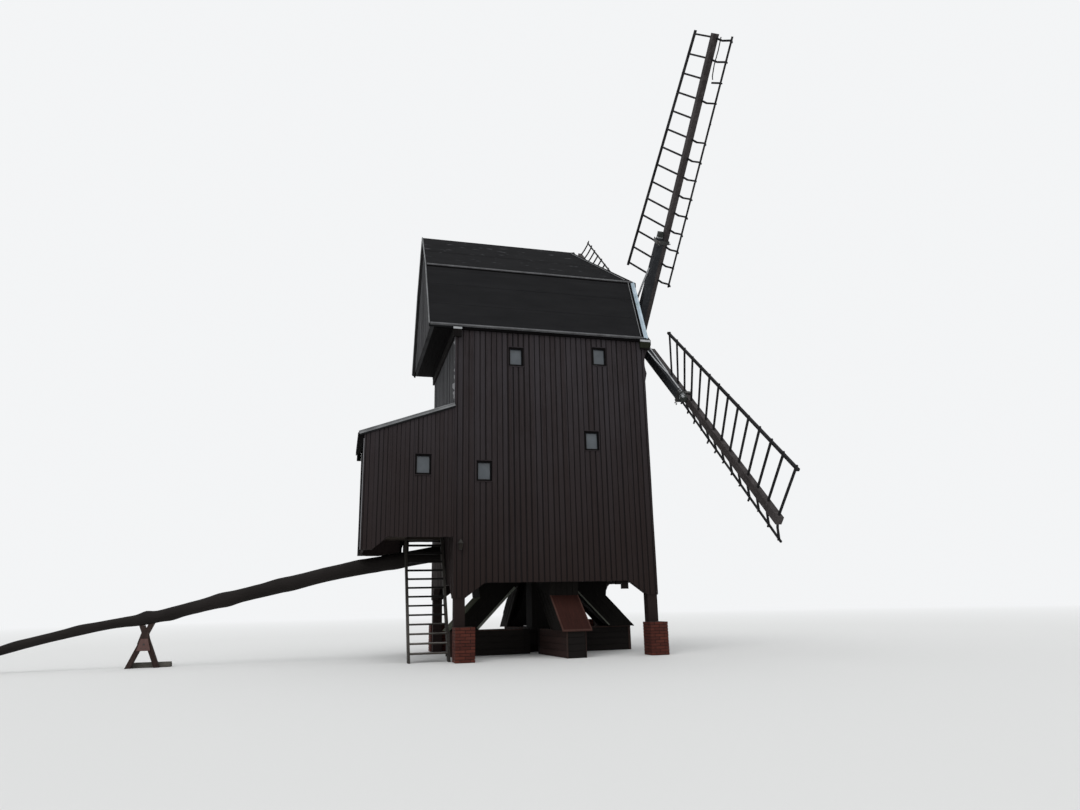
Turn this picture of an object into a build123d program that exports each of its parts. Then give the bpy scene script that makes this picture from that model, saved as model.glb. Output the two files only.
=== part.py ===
from build123d import *
import math
import os

# Traditional post mill: a boarded timber body on a trestle, with four lattice sails.
# Millimetres. X runs from the tail pole towards the sails, Y across the mill, Z up.
# Places are laid out from the ground in the middle of the body's plan. The finished parts are then
# moved along X, so that their origin lies on the underside of the front crosstree's casing.

# Body
body_length = 5600
body_width = 4760
wall_thickness = 150
skirt_bottom = 1930
floor_top = 3290
floor_thickness = 80
lower_room_height = 3460
upper_room_height = 1900
beam_depth = 300
post_size = 280
haunch_drop = 380
haunch_reach = 520

# Windows: the upper ones as (x, gap below the wall's top), the lower ones as (x, sill above the floor),
# and the porch's as (distance behind the body, sill above the floor)
window_width = 420
window_height = 550
upper_windows = [(-1300, 200), (1200, 40)]
lower_windows = [(-2220, 1310), (880, 2240)]
porch_window = (1060, 1450)
frame_width = 45
frame_depth = 70
frame_proud = 18
pane_thickness = 12

# Doorway between the porch and the body
door_far_side = 0
door_width = 640
door_height = 1900

# Roof
eave_rise = 320
eave_overhang = 137
kink_rise = 2390
kink_half_width = 1203
ridge_rise = 1480
roof_thickness = 120
rear_overhang = 770
verge_overhang = 120
hip_eave_overhang = 410
hip_ridge_inset = 1350
gable_inset = 70
gable_thickness = 80
soffit_thickness = 48

# Light metal on the roof's edges
strip_width = 70
strip_thickness = 25
zinc_width = 130
zinc_thickness = 14
strip_gap = 4

# Cross beams under the roof and the carved brackets below the front one
beam_end_proud = 120
rear_beam_width = 220
rear_beam_outer = 80
front_beam_width = 290
front_beam_outer = 200
plate_width = 250
plate_rise = 110
bracket_drop = 1150
bracket_reach = 150
bracket_nose_rise = 420
bracket_nose_reach = 95
bracket_hollow = 45
bracket_thickness = 160

# Trestle, with the body turned a little on its post
post_axis_x = 100
trestle_turn = 5
crosstree_width = 400
crosstree_depth = 380
pier_height = 260
pier_start = 420
pier_reach = 2750
pier_box_height = 690
pier_board = 40
main_post_width = 700
main_post_chamfer = 84
main_post_top_radius = 290
main_post_square_rise = 60
main_post_clearance = 10
crown_tree_size = 600
quarter_bar_depth = 300
quarter_bar_width = 280
quarter_bar_foot = 2660
quarter_bar_head_drop = 240
cover_width = 820
cover_board = 45
cover_depth = 560
cover_overhang = 60
cover_kink_reach = 1930
cover_kink_rise = 880
cover_lean = 140
cover_head_reach = 870
sheer_width = 260
sheer_depth = 330
sheer_spread = 720
bolster_width = 240
bolster_drop = 480

# Brick piers at the corner posts
brick_pier_x = 500
brick_pier_y = 520
brick_pier_height = 847
brick_pier_inset = -40

# Porch behind the body
porch_length = 2380
porch_far_side = 120
porch_wall = 80
porch_near_edge_drop = 180
porch_far_edge_drop = 110
porch_box_drop = 500
porch_box_length = 1180
porch_haunch_start = 1720
porch_haunch_end = 2110
porch_roof_rise = 3430
porch_roof_fall = 890
porch_roof_reach = 2540
porch_roof_thickness = 100
porch_verge = 50

# Stair
tread_count = 13
tread_going = 130
tread_depth = 205
tread_thickness = 45
stair_width = 1070
stair_wall_gap = 60
stringer_thickness = 60
stringer_depth = 250
stringer_margin = 20
stair_head_y = -380

# Wall lamp
lamp_inset = 150
lamp_drop = 530
lamp_height = 290
lamp_plate = 110
lamp_plate_thickness = 20
lamp_radius = 85
lamp_sink = 15
lamp_foot_radius = 50
lamp_cap_radius = 22
lamp_cap_height = 100

# Tail pole: its inner end, then stations as (distance behind the body, share of the fall, radius)
pole_inner_reach = 1500
pole_inner_rise = 80
pole_inner_radius = 215
pole_head_drop = 20
pole_runs = [
    (20, 0, 230),
    (2860, 0.178, 210),
    (5430, 0.403, 190),
    (7640, 0.602, 152),
    (8450, 0.632, 120),
    (10080, 0.762, 122),
    (12350, 1, 100),
]
pole_hole_gap = 25
trestle_leg = 120
trestle_top_spread = 330
trestle_foot_spread = 780
trestle_plate_width = 330
trestle_plate_drop = 80
trestle_plate_height = 300
trestle_plate_thickness = 30
sill_length = 1020
sill_radius = 130
sill_shift = 130

# Windshaft and sails
shaft_rise = 730
shaft_radius = 280
shaft_tail_radius = 220
journal_radius = 140
journal_length = 360
shaft_tail_inset = 1100
tail_beam_inset = 1320
tail_beam_width = 220
tail_beam_lift = 170
tail_beam_depth = 460
bearing_clearance = 0.3
bearing_half_width = 380
bearing_mouth = 60
shaft_opening = 400
shaft_neck_inset = 400
head_size = 560
head_chamfer = 110
head_reach = 260
head_length = 940
stock_inset = 500
stock_spacing = 300
rest_angle = 44
sail_radius = 9500
stock_reach = 3650
stock_width = 280
stock_back_middle = 170
stock_back_end = 100
whip_start = 430
whip_width = 200
whip_depth = 160
whip_offset = 160
clamp_margin = 25
clamp_length = 110
clamp_iron = 22
rung_count = 14
rung_margin = 100
rung_width = 50
rung_depth = 44
longeron_start = 2270
trailing_width_inner = 1455
trailing_width_tip = 1400
trailing_set_inner = -307
trailing_set_tip = 139
trailing_longeron = 66
leading_width_inner = 505
leading_width_tip = 610
leading_set_inner = 430
leading_set_tip = 409
leading_longeron = 44
leading_rung_dip = 45
damaged_sail = 0
missing_rung = 9
broken_rung = 11

# Places worked out from the sizes above
half_length = body_length / 2
half_width = body_width / 2
inner_length = half_length - wall_thickness
inner_width = half_width - wall_thickness
eave_half_width = half_width + eave_overhang
upper_floor_top = floor_top + lower_room_height
wall_top = upper_floor_top + upper_room_height
beam_top = wall_top + beam_depth
eave_height = wall_top + eave_rise
kink_height = eave_height + kink_rise
ridge_height = kink_height + ridge_rise
shaft_height = beam_top + shaft_rise
shaft_opening_top = shaft_height + shaft_opening
rear_face = -half_length
front_face = half_length
roof_rear = rear_face - rear_overhang
roof_front = front_face + verge_overhang
hip_front = front_face + hip_eave_overhang
hip_ridge = front_face - hip_ridge_inset
crosstree_top = pier_height + crosstree_depth
pier_width = crosstree_width + 2 * pier_board
origin_x = post_axis_x + (pier_start + pier_reach) / 2
sheer_top = floor_top - floor_thickness
sheer_bottom = sheer_top - sheer_depth
quarter_bar_head = sheer_bottom - quarter_bar_head_drop
main_post_square_top = quarter_bar_head + main_post_square_rise
cover_foot = (pier_reach + cover_overhang, pier_box_height)
cover_kink = (cover_kink_reach, pier_box_height + cover_kink_rise)
cover_head = (cover_kink_reach + cover_lean, quarter_bar_head)
crown_top = upper_floor_top - floor_thickness
crown_bottom = crown_top - crown_tree_size
porch_outer = rear_face - porch_length
porch_near_edge = floor_top - porch_near_edge_drop
porch_far_edge = floor_top - porch_far_edge_drop
porch_box_bottom = floor_top - porch_box_drop
porch_roof_top = floor_top + porch_roof_rise
porch_window_corner = (rear_face - porch_window[0], floor_top + porch_window[1])
side_windows = [(x, wall_top - gap - window_height) for x, gap in upper_windows]
side_windows += [(x, floor_top + sill) for x, sill in lower_windows]
lamp_x = rear_face + lamp_inset
lamp_bottom = floor_top - lamp_drop
front_beam_front = front_face + front_beam_outer
front_beam_rear = front_beam_front - front_beam_width
rear_beam_rear = rear_face - rear_beam_outer
rear_beam_front = rear_beam_rear + rear_beam_width
door_near_side = door_far_side - door_width
door_top = floor_top + door_height
tread_rise = floor_top / (tread_count + 1)
stair_right = rear_face - stair_wall_gap
stair_left = stair_right - stair_width
plate_inner = half_width - plate_width
crosstree_middle = (pier_height + crosstree_top) / 2
pole_head = sheer_bottom - pole_head_drop
pole_fall = pole_head - pole_runs[-1][2]
pole_inner = (rear_face + pole_inner_reach, sheer_bottom + pole_inner_rise, pole_inner_radius)
pole_stations = [(rear_face - run, pole_head - fall * pole_fall, radius) for run, fall, radius in pole_runs]
trestle_station = pole_stations[-4]
pole_trestle_x = trestle_station[0]
shaft_tail_x = rear_face + shaft_tail_inset
tail_beam_x = rear_face + tail_beam_inset
tail_beam_bottom = wall_top + tail_beam_lift
shaft_neck_x = front_face - shaft_neck_inset
head_start = front_face + head_reach
head_end = head_start + head_length
stock_plane_ac = head_start + stock_inset
stock_plane_bd = stock_plane_ac + stock_spacing
whip_back = whip_offset - whip_depth / 2
whip_front = whip_offset + whip_depth / 2
clamp_end = stock_reach - clamp_margin
rung_first = longeron_start + rung_margin
rung_last = sail_radius - rung_margin


def block(x, y, z):
    """A box given by its low and high value on each axis."""
    size = (x[1] - x[0], y[1] - y[0], z[1] - z[0])
    middle = ((x[0] + x[1]) / 2, (y[0] + y[1]) / 2, (z[0] + z[1]) / 2)
    return Pos(*middle) * Box(*size)


def profile_xz(points, y):
    """A prism with its outline in the X-Z plane, between two values of y."""
    plane = Plane(origin=(0, y[1], 0), x_dir=(1, 0, 0), z_dir=(0, -1, 0))
    return extrude(plane * make_face(Polyline(*points, close=True)), amount=y[1] - y[0])


def profile_yz(points, x):
    """A prism with its outline in the Y-Z plane, between two values of x."""
    plane = Plane(origin=(x[0], 0, 0), x_dir=(0, 1, 0), z_dir=(1, 0, 0))
    return extrude(plane * make_face(Polyline(*points, close=True)), amount=x[1] - x[0])


def cylinder_x(radius, x, y, z):
    """A round bar along X."""
    return extrude(Plane(origin=(x[0], y, z), z_dir=(1, 0, 0)) * Circle(radius), amount=x[1] - x[0])


def bar(start, end, width, depth, width_direction):
    """A rectangular bar from one point to another, its width along a given direction."""
    start = Vector(*start)
    run = Vector(*end) - start
    plane = Plane(origin=start, x_dir=width_direction, z_dir=run)
    return extrude(plane * Rectangle(width, depth), amount=run.length)


def mirrored(solids, plane=Plane.XZ):
    """The solids with their mirror images on the other side of a plane."""
    return list(solids) + [mirror(solid, about=plane) for solid in solids]


def save(name, solids):
    """Writes the solids of one sub-part, as one file."""
    if not isinstance(solids, (list, tuple)):
        solids = [solids]
    singles = [single for shape in solids for single in shape.solids()]
    placed = [Pos(-origin_x, 0, 0) * single for single in singles]
    part = placed[0] if len(placed) == 1 else Compound(children=placed)
    export_step(part, f"parts/{name}.step")


def crossing(line_a, line_b):
    """The point where two lines of a section meet, each given by two points."""
    (x1, y1), (x2, y2) = line_a
    (x3, y3), (x4, y4) = line_b
    below = (x1 - x2) * (y3 - y4) - (y1 - y2) * (x3 - x4)
    first = x1 * y2 - y1 * x2
    second = x3 * y4 - y3 * x4
    return (
        (first * (x3 - x4) - (x1 - x2) * second) / below,
        (first * (y3 - y4) - (y1 - y2) * second) / below,
    )


def inward(start, end, distance):
    """A roof line moved in by a distance at right angles to it."""
    run = math.hypot(end[0] - start[0], end[1] - start[1])
    step_y = -(end[1] - start[1]) / run * distance
    step_z = (end[0] - start[0]) / run * distance
    return (start[0] + step_y, start[1] + step_z), (end[0] + step_y, end[1] + step_z)


# Roof section on the side of positive y: eave, kink and ridge, outside and inside
eave = (eave_half_width, eave_height)
kink = (kink_half_width, kink_height)
ridge = (0, ridge_height)
lower_inside = inward(eave, kink, roof_thickness)
upper_inside = inward(kink, ridge, roof_thickness)
eave_inside = lower_inside[0]
kink_inside = crossing(lower_inside, upper_inside)
ridge_inside = crossing(upper_inside, ((0, 0), (0, ridge_height)))
hip_slope = (ridge_height - kink_height) / (hip_front - hip_ridge)
hip_drop = roof_thickness * math.hypot(1, hip_slope)


def roof_half_width(height):
    """Half the width under the roof at a height."""
    low, high = lower_inside if height < kink_inside[1] else upper_inside
    return low[0] + (high[0] - low[0]) * (height - low[1]) / (high[1] - low[1])


def hip_underside(x):
    """Height of the half hip's underside."""
    return kink_height + (hip_front - x) * hip_slope - hip_drop


def hip_underside_x(height):
    """Where the half hip's underside is at a height."""
    return hip_front - (height - kink_height + hip_drop) / hip_slope


def lower_slope_height(y):
    """Height of the lower slope's underside at a distance from the middle."""
    (y1, z1), (y2, z2) = lower_inside
    return z1 + (z2 - z1) * (y - y1) / (y2 - y1)


def across(points):
    """A section and its mirror image, as one closed outline from two half outlines."""
    return list(points) + [(-y, z) for y, z in reversed(points) if y != 0]


# Trestle
def to_side(side):
    """Turns a piece laid out along +X from the post's axis to one of the trestle's four sides."""
    return Pos(post_axis_x, 0, 0) * Rot(0, 0, trestle_turn + 90 * side)


def trestle_piers():
    """Long boarded casings, each with a pocket for an arm of a crosstree and the foot of a quarter bar."""
    solid = block((pier_start, pier_reach), (-pier_width / 2, pier_width / 2), (0, pier_box_height))
    pocket = block(
        (pier_start, pier_reach - pier_board),
        (-crosstree_width / 2, crosstree_width / 2),
        (pier_height, crosstree_top),
    )
    pier = solid - pocket - quarter_bar()
    return [to_side(side) * pier for side in range(4)]


def crosstree(side, notch_z):
    reach = pier_reach - pier_board
    beam = block((-reach, reach), (-crosstree_width / 2, crosstree_width / 2), (pier_height, crosstree_top))
    notch = block((-crosstree_width / 2, crosstree_width / 2), (-crosstree_width, crosstree_width), notch_z)
    return to_side(side) * (beam - notch)


def quarter_bar():
    """A strut from a crosstree's end up to the post, laid out along +X from the post's axis."""
    foot = (quarter_bar_foot, crosstree_top)
    head = (main_post_width / 2, quarter_bar_head)
    inner_foot, inner_head = inward(foot, head, quarter_bar_depth)
    low = crossing((inner_foot, inner_head), ((0, crosstree_top), (1, crosstree_top)))
    high = crossing((inner_foot, inner_head), ((head[0], 0), (head[0], 1)))
    return profile_xz([foot, head, high, low], (-quarter_bar_width / 2, quarter_bar_width / 2))


def quarter_bars():
    return [to_side(side) * quarter_bar() for side in range(4)]


def strut_covers():
    """Boarded hoods over the quarter bars: a sloping top, upright boards above it and two cheeks."""
    slope_foot, slope_top = inward(cover_foot, cover_kink, cover_board)
    upright_foot, upright_top = inward(cover_kink, cover_head, cover_board)
    inner_kink = crossing((slope_foot, slope_top), (upright_foot, upright_top))
    inner_foot = crossing((slope_foot, slope_top), ((0, pier_box_height), (1, pier_box_height)))
    inner_head = crossing((upright_foot, upright_top), ((0, cover_head[1]), (1, cover_head[1])))
    outline = [cover_foot, cover_kink, cover_head, inner_head, inner_kink, inner_foot]
    top = profile_xz(outline, (-cover_width / 2, cover_width / 2))
    cheek_line = inward(cover_foot, cover_kink, cover_depth)
    cheek_foot = crossing(cheek_line, ((0, pier_box_height), (1, pier_box_height)))
    cheek_side = crossing(cheek_line, ((cover_head_reach, 0), (cover_head_reach, 1)))
    cheek = [inner_foot, inner_kink, inner_head, (cover_head_reach, cover_head[1]), cheek_side, cheek_foot]
    near = profile_xz(cheek, (-cover_width / 2, -cover_width / 2 + cover_board))
    far = profile_xz(cheek, (cover_width / 2 - cover_board, cover_width / 2))
    hood = top + near + far
    return [to_side(side) * hood for side in range(4)]


def main_post():
    """Square at the foot, round above the quarter bars, with the top a little thinner."""
    half = main_post_width / 2
    square = block((-half, half), (-half, half), (crosstree_top, main_post_square_top))
    square = chamfer(square.edges().filter_by(Axis.Z), main_post_chamfer)
    shaft_start = Plane.XY.offset(main_post_square_top) * Circle(half)
    shaft_end = Plane.XY.offset(crown_bottom) * Circle(main_post_top_radius)
    return to_side(0) * (square + loft([shaft_start.face(), shaft_end.face()]))


def sheers():
    half = sheer_spread / 2
    beam = block((-inner_length, inner_length), (half, half + sheer_width), (sheer_bottom, sheer_top))
    return mirrored([beam])


def pole_height(x):
    """Height of the tail pole's centreline inside the body."""
    (x1, z1, r1), (x2, z2, r2) = pole_inner, pole_stations[0]
    return z1 + (z2 - z1) * (x - x1) / (x2 - x1)


def tail_pole_bolster():
    """A cross piece under the sheers, hollowed for the tail pole."""
    half = sheer_spread / 2 + sheer_width
    rear = -inner_length
    seat = pole_height(rear + bolster_width / 2)
    piece = block((rear, rear + bolster_width), (-half, half), (seat - bolster_drop, sheer_bottom))
    return piece - tail_pole()


# Body
def corner_posts():
    x = (half_length - post_size, half_length)
    post = block(x, (half_width - post_size, half_width), (0, skirt_bottom))
    return mirrored(mirrored([post]), Plane.YZ)


def corner_haunches():
    low = skirt_bottom - haunch_drop
    start_x = half_length - post_size
    start_y = half_width - post_size
    side = [(start_x, low), (start_x, skirt_bottom), (start_x - haunch_reach, skirt_bottom)]
    end = [(start_y, low), (start_y, skirt_bottom), (start_y - haunch_reach, skirt_bottom)]
    pieces = [profile_xz(side, (inner_width, half_width)), profile_yz(end, (inner_length, half_length))]
    return mirrored(mirrored(pieces), Plane.YZ)


def brick_piers():
    outer_x = half_length - brick_pier_inset
    outer_y = half_width + brick_pier_y
    pier = block((outer_x - brick_pier_x, outer_x), (half_width, outer_y), (0, brick_pier_height))
    return mirrored(mirrored([pier]), Plane.YZ)


def lower_floor():
    floor = block((-inner_length, inner_length), (-inner_width, inner_width), (sheer_top, floor_top))
    hole = Cylinder(main_post_width / 2 + main_post_clearance, 2 * floor_thickness)
    return floor - Pos(post_axis_x, 0, floor_top) * hole


def window_hole(corner, y):
    x, z = corner
    return block((x, x + window_width), y, (z, z + window_height))


def side_wall():
    wall = block((-half_length, half_length), (-half_width, -inner_width), (skirt_bottom, wall_top))
    for corner in side_windows:
        wall -= window_hole(corner, (-half_width, -inner_width))
    return wall


def window_frame(corner, outer, thickness):
    """A frame that stands a little proud of the boards, as deep as the wall or less."""
    x, z = corner
    depth = min(frame_depth, thickness)
    y = (outer - frame_proud, outer + depth)
    ring = block((x, x + window_width), y, (z, z + window_height))
    light = block(
        (x + frame_width, x + window_width - frame_width),
        y,
        (z + frame_width, z + window_height - frame_width),
    )
    return ring - light


def window_pane(corner, outer, thickness):
    x, z = corner
    depth = min(frame_depth, thickness)
    middle = outer + depth / 2
    return block(
        (x + frame_width, x + window_width - frame_width),
        (middle - pane_thickness / 2, middle + pane_thickness / 2),
        (z + frame_width, z + window_height - frame_width),
    )


def windows(make):
    """One piece for each window: both sides of the body, and the porch."""
    pieces = mirrored([make(corner, -half_width, wall_thickness) for corner in side_windows])
    return pieces + [make(porch_window_corner, -half_width, porch_wall)]


def front_wall():
    return block((inner_length, half_length), (-inner_width, inner_width), (skirt_bottom, wall_top))


def rear_skirt():
    """The rear wall below the floor, with a round hole for the tail pole."""
    wall = block((-half_length, -inner_length), (-inner_width, inner_width), (skirt_bottom, floor_top))
    radius = pole_stations[0][2] + pole_hole_gap
    return wall - cylinder_x(radius, (-half_length, -inner_length), 0, pole_height(-half_length))


def rear_walls():
    z = (floor_top, wall_top)
    x = (-half_length, -inner_length)
    return [block(x, (-inner_width, door_near_side), z), block(x, (door_far_side, inner_width), z)]


def rear_wall_over_door():
    return block((-half_length, -inner_length), (door_near_side, door_far_side), (door_top, wall_top))


def crown_tree():
    half = crown_tree_size / 2
    x = (post_axis_x - half, post_axis_x + half)
    return block(x, (-inner_width, inner_width), (crown_bottom, crown_top))


def upper_floor():
    return block((-inner_length, inner_length), (-inner_width, inner_width), (crown_top, upper_floor_top))


# Frame under the roof
def wall_plates():
    """Beams on the side walls, bevelled on top to carry the roof."""
    bevel_top = beam_top + plate_rise
    outline = [
        (half_width, wall_top),
        (half_width, lower_slope_height(half_width)),
        (roof_half_width(bevel_top), bevel_top),
        (plate_inner, bevel_top),
        (plate_inner, wall_top),
    ]
    return mirrored([profile_yz(outline, (rear_beam_front, front_beam_rear))])


def cross_beams():
    """The front and rear beams, trimmed under the roof, with ends that stand out of the walls."""
    y = (-half_width - beam_end_proud, half_width + beam_end_proud)
    front = block((front_beam_rear, front_beam_front), y, (wall_top, beam_top))
    rear = block((rear_beam_rear, rear_beam_front), y, (wall_top, beam_top))
    near, far = roof_lower_slopes()
    return [front - near - far, rear - near - far]


def weather_beam_brackets():
    """Carved consoles under the ends of the front beam: a nose between two hollows."""
    low = wall_top - bracket_drop
    nose = (front_face + bracket_nose_reach, low + bracket_nose_rise)
    tip = (front_face + bracket_reach, wall_top)
    upper_middle = (front_face + bracket_hollow, (nose[1] + wall_top) / 2)
    lower_middle = (front_face + bracket_hollow, (nose[1] + low) / 2)
    outline = [
        Line((front_face, low), (front_face, wall_top)),
        Line((front_face, wall_top), tip),
        ThreePointArc(tip, upper_middle, nose),
        ThreePointArc(nose, lower_middle, (front_face, low)),
    ]
    plane = Plane(origin=(0, half_width, 0), x_dir=(1, 0, 0), z_dir=(0, -1, 0))
    return mirrored([extrude(plane * make_face(outline), amount=bracket_thickness)])


def front_gable_sides():
    """The gable beside the windshaft."""
    outline = [
        (shaft_opening, beam_top),
        (roof_half_width(beam_top), beam_top),
        (roof_half_width(shaft_opening_top), shaft_opening_top),
        (shaft_opening, shaft_opening_top),
    ]
    near_plate, far_plate = wall_plates()
    side = profile_yz(outline, (inner_length, half_length)) - near_plate - far_plate
    return mirrored([side])


def front_gable_top():
    """The gable above the windshaft, up to the half hip."""
    top = hip_underside(half_length)
    outline = across([
        (roof_half_width(shaft_opening_top), shaft_opening_top),
        kink_inside,
        (roof_half_width(top), top),
    ])
    return profile_yz(outline, (inner_length, half_length))


def shaft_bearings():
    """The block under the shaft's neck, and the beam under its tail."""
    seat_top = shaft_height - bearing_mouth
    neck_x = (front_beam_rear, front_beam_front)
    neck = block(neck_x, (-bearing_half_width, bearing_half_width), (beam_top, seat_top))
    tail_x = (tail_beam_x - tail_beam_width / 2, tail_beam_x + tail_beam_width / 2)
    beam_z = (tail_beam_bottom, tail_beam_bottom + tail_beam_depth)
    beam = block(tail_x, (-plate_inner, plate_inner), beam_z)
    seat = block(tail_x, (-bearing_half_width, bearing_half_width), (tail_beam_bottom, seat_top))
    neck_hollow = cylinder_x(shaft_radius + bearing_clearance, neck_x, 0, shaft_height)
    tail_hollow = cylinder_x(journal_radius + bearing_clearance, tail_x, 0, shaft_height)
    return [neck - neck_hollow, beam + seat - tail_hollow]


# Roof
def roof_lower_slopes():
    outline = [eave, kink, kink_inside, eave_inside]
    return mirrored([profile_yz(outline, (roof_rear, roof_front))])


def roof_upper_slope():
    """From the kink to the ridge, cut off under the half hip."""
    slope = profile_yz([kink, ridge, ridge_inside, kink_inside], (roof_rear, hip_front))
    beyond = hip_front + kink_half_width
    top = ridge_height + kink_half_width
    above = [
        (beyond, hip_underside(beyond)),
        (hip_underside_x(top), top),
        (beyond, top),
    ]
    return slope - profile_xz(above, (-kink_half_width, kink_half_width))


def roof_hip():
    """The half hip: a sloping slab, bounded by the planes of the two upper slopes."""
    slab = profile_xz(
        [
            (hip_front, kink_height),
            (hip_ridge, ridge_height),
            (hip_ridge, ridge_height - hip_drop),
            (hip_front, kink_height - hip_drop),
        ],
        (-kink_half_width, kink_half_width),
    )
    roof = profile_yz(across([(kink_half_width, kink_height - hip_drop), kink, ridge]), (0, hip_front))
    return slab & roof


def rear_gable():
    x = roof_rear + gable_inset
    return profile_yz(across([eave_inside, kink_inside, ridge_inside]), (x, x + gable_thickness))


def rear_soffit():
    x = (roof_rear + gable_inset + gable_thickness, rear_beam_rear)
    return block(x, (-half_width, half_width), (eave_inside[1], eave_inside[1] + soffit_thickness))


def slope_strip(line, start, end, thickness, x):
    """A flat strip on a roof slope, from one distance up the slope to another."""
    (y1, z1), (y2, z2) = line
    run = math.hypot(y2 - y1, z2 - z1)
    low = (y1 + (y2 - y1) * start / run, z1 + (z2 - z1) * start / run)
    high = (y1 + (y2 - y1) * end / run, z1 + (z2 - z1) * end / run)
    outer_low, outer_high = inward(low, high, -thickness)
    return profile_yz([low, high, outer_high, outer_low], x)


def front_verge_strips():
    """Wide strips on the lower slopes along the front verge."""
    run = math.dist(eave, kink)
    strip = slope_strip((eave, kink), 0, run, zinc_thickness, (roof_front - zinc_width, roof_front))
    return mirrored([strip])


def roof_edge_strips():
    """Rolled strips along the eaves, the kinks, the rear verges and the half hip's eave."""
    lower_run = math.dist(eave, kink)
    upper_run = math.dist(kink, ridge)
    start = strip_width + strip_gap
    verge_x = (roof_rear, roof_rear + strip_width)
    eave_x = (roof_rear, roof_front - zinc_width - strip_gap)
    kink_x = (roof_rear, hip_front - strip_width)
    hip_line = ((hip_front, kink_height), (hip_ridge, ridge_height))
    share = strip_width / math.dist(*hip_line)
    hip_low, hip_top = hip_line
    hip_high = tuple(low + (top - low) * share for low, top in zip(hip_low, hip_top))
    outer_low, outer_high = inward(hip_low, hip_high, -strip_thickness)
    hip_reach = kink_half_width - strip_width
    sides = [
        slope_strip((eave, kink), 0, strip_width, strip_thickness, eave_x),
        slope_strip((kink, ridge), 0, strip_width, strip_thickness, kink_x),
        slope_strip((eave, kink), start, lower_run - strip_gap, strip_thickness, verge_x),
        slope_strip((kink, ridge), start, upper_run - start, strip_thickness, verge_x),
    ]
    hip_strip = profile_xz([hip_low, hip_high, outer_high, outer_low], (-hip_reach, hip_reach))
    return mirrored(sides) + [hip_strip]


# Porch
def porch_roof_under(x):
    """Height of the porch roof's underside."""
    slope = porch_roof_fall / porch_roof_reach
    drop = porch_roof_thickness * math.hypot(1, slope)
    return porch_roof_top + (x - rear_face) * slope - drop


def porch_wall_near():
    outline = [
        (rear_face, porch_near_edge),
        (rear_face, porch_roof_under(rear_face)),
        (porch_outer, porch_roof_under(porch_outer)),
        (porch_outer, porch_box_bottom),
        (rear_face - porch_haunch_end, porch_box_bottom),
        (rear_face - porch_haunch_start, porch_near_edge),
    ]
    y = (-half_width, -half_width + porch_wall)
    return profile_xz(outline, y) - window_hole(porch_window_corner, y)


def porch_wall_outer():
    inner = porch_outer + porch_wall
    outline = [
        (porch_outer, porch_box_bottom),
        (inner, porch_box_bottom),
        (inner, porch_roof_under(inner)),
        (porch_outer, porch_roof_under(porch_outer)),
    ]
    return profile_xz(outline, (-half_width + porch_wall, porch_far_side - porch_wall))


def porch_wall_far():
    """Scribed over the tail pole where its lower edge comes down beside it."""
    box_end = porch_outer + porch_box_length
    outline = [
        (rear_face, porch_far_edge),
        (rear_face, porch_roof_under(rear_face)),
        (porch_outer, porch_roof_under(porch_outer)),
        (porch_outer, porch_box_bottom),
        (box_end, porch_box_bottom),
        (box_end, porch_far_edge),
    ]
    wall = profile_xz(outline, (porch_far_side - porch_wall, porch_far_side))
    return wall - tail_pole(pole_hole_gap)


def porch_floor():
    """A landing that bends round the open stairwell."""
    z = (floor_top - floor_thickness, floor_top)
    far = porch_far_side - porch_wall
    landing = block((porch_outer + porch_wall, stair_left), (-half_width + porch_wall, far), z)
    stair_head = block((stair_left, rear_face), (stair_head_y, far), z)
    return landing + stair_head


def porch_roof():
    slope = porch_roof_fall / porch_roof_reach
    top = (rear_face, porch_roof_top)
    low = (rear_face - porch_roof_reach, porch_roof_top - porch_roof_fall)
    inner_low, inner_top = inward(low, top, -porch_roof_thickness)
    under = (rear_face, porch_roof_under(rear_face))
    y = (-half_width - porch_verge, porch_far_side + porch_verge)
    return profile_xz([top, low, inner_low, under], y)


# Stair
def tread_nose(step):
    """The front edge of a tread, counted from the ground."""
    return stair_head_y - (tread_count + 1 - step) * tread_going - (tread_depth - tread_going)


def stair_treads():
    x = (stair_left + stringer_thickness, stair_right - stringer_thickness)
    treads = []
    for step in range(1, tread_count + 1):
        nose = tread_nose(step)
        top = step * tread_rise
        treads.append(block(x, (nose, nose + tread_depth), (top - tread_thickness, top)))
    return treads


def stair_stringers():
    front_foot = tread_nose(0) - stringer_margin
    front_head = tread_nose(tread_count + 1) - stringer_margin
    back_foot = front_foot + stringer_depth * math.hypot(tread_going, tread_rise) / tread_rise
    back_head = (stair_head_y, (stair_head_y - back_foot) / tread_going * tread_rise)
    outline = [
        (front_foot, 0),
        (back_foot, 0),
        back_head,
        (stair_head_y, floor_top),
        (front_head, floor_top),
    ]
    left = profile_yz(outline, (stair_left, stair_left + stringer_thickness))
    right = profile_yz(outline, (stair_right - stringer_thickness, stair_right))
    return [left, right]


def wall_lamp():
    """A lantern that widens upwards under a small roof, on a back plate."""
    plate = block(
        (lamp_x - lamp_plate / 2, lamp_x + lamp_plate / 2),
        (-half_width - lamp_plate_thickness, -half_width),
        (lamp_bottom, lamp_bottom + lamp_height),
    )
    centre_y = -half_width - lamp_plate_thickness - lamp_radius + lamp_sink
    top = lamp_bottom + lamp_height
    glass_foot = Pos(lamp_x, centre_y, lamp_bottom) * RegularPolygon(lamp_foot_radius, 6)
    glass_head = Pos(lamp_x, centre_y, top - lamp_cap_height) * RegularPolygon(lamp_radius, 6)
    roof_head = Pos(lamp_x, centre_y, top) * RegularPolygon(lamp_cap_radius, 6)
    lantern = loft([glass_foot.face(), glass_head.face()]) + loft([glass_head.face(), roof_head.face()])
    return plate + lantern


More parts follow.
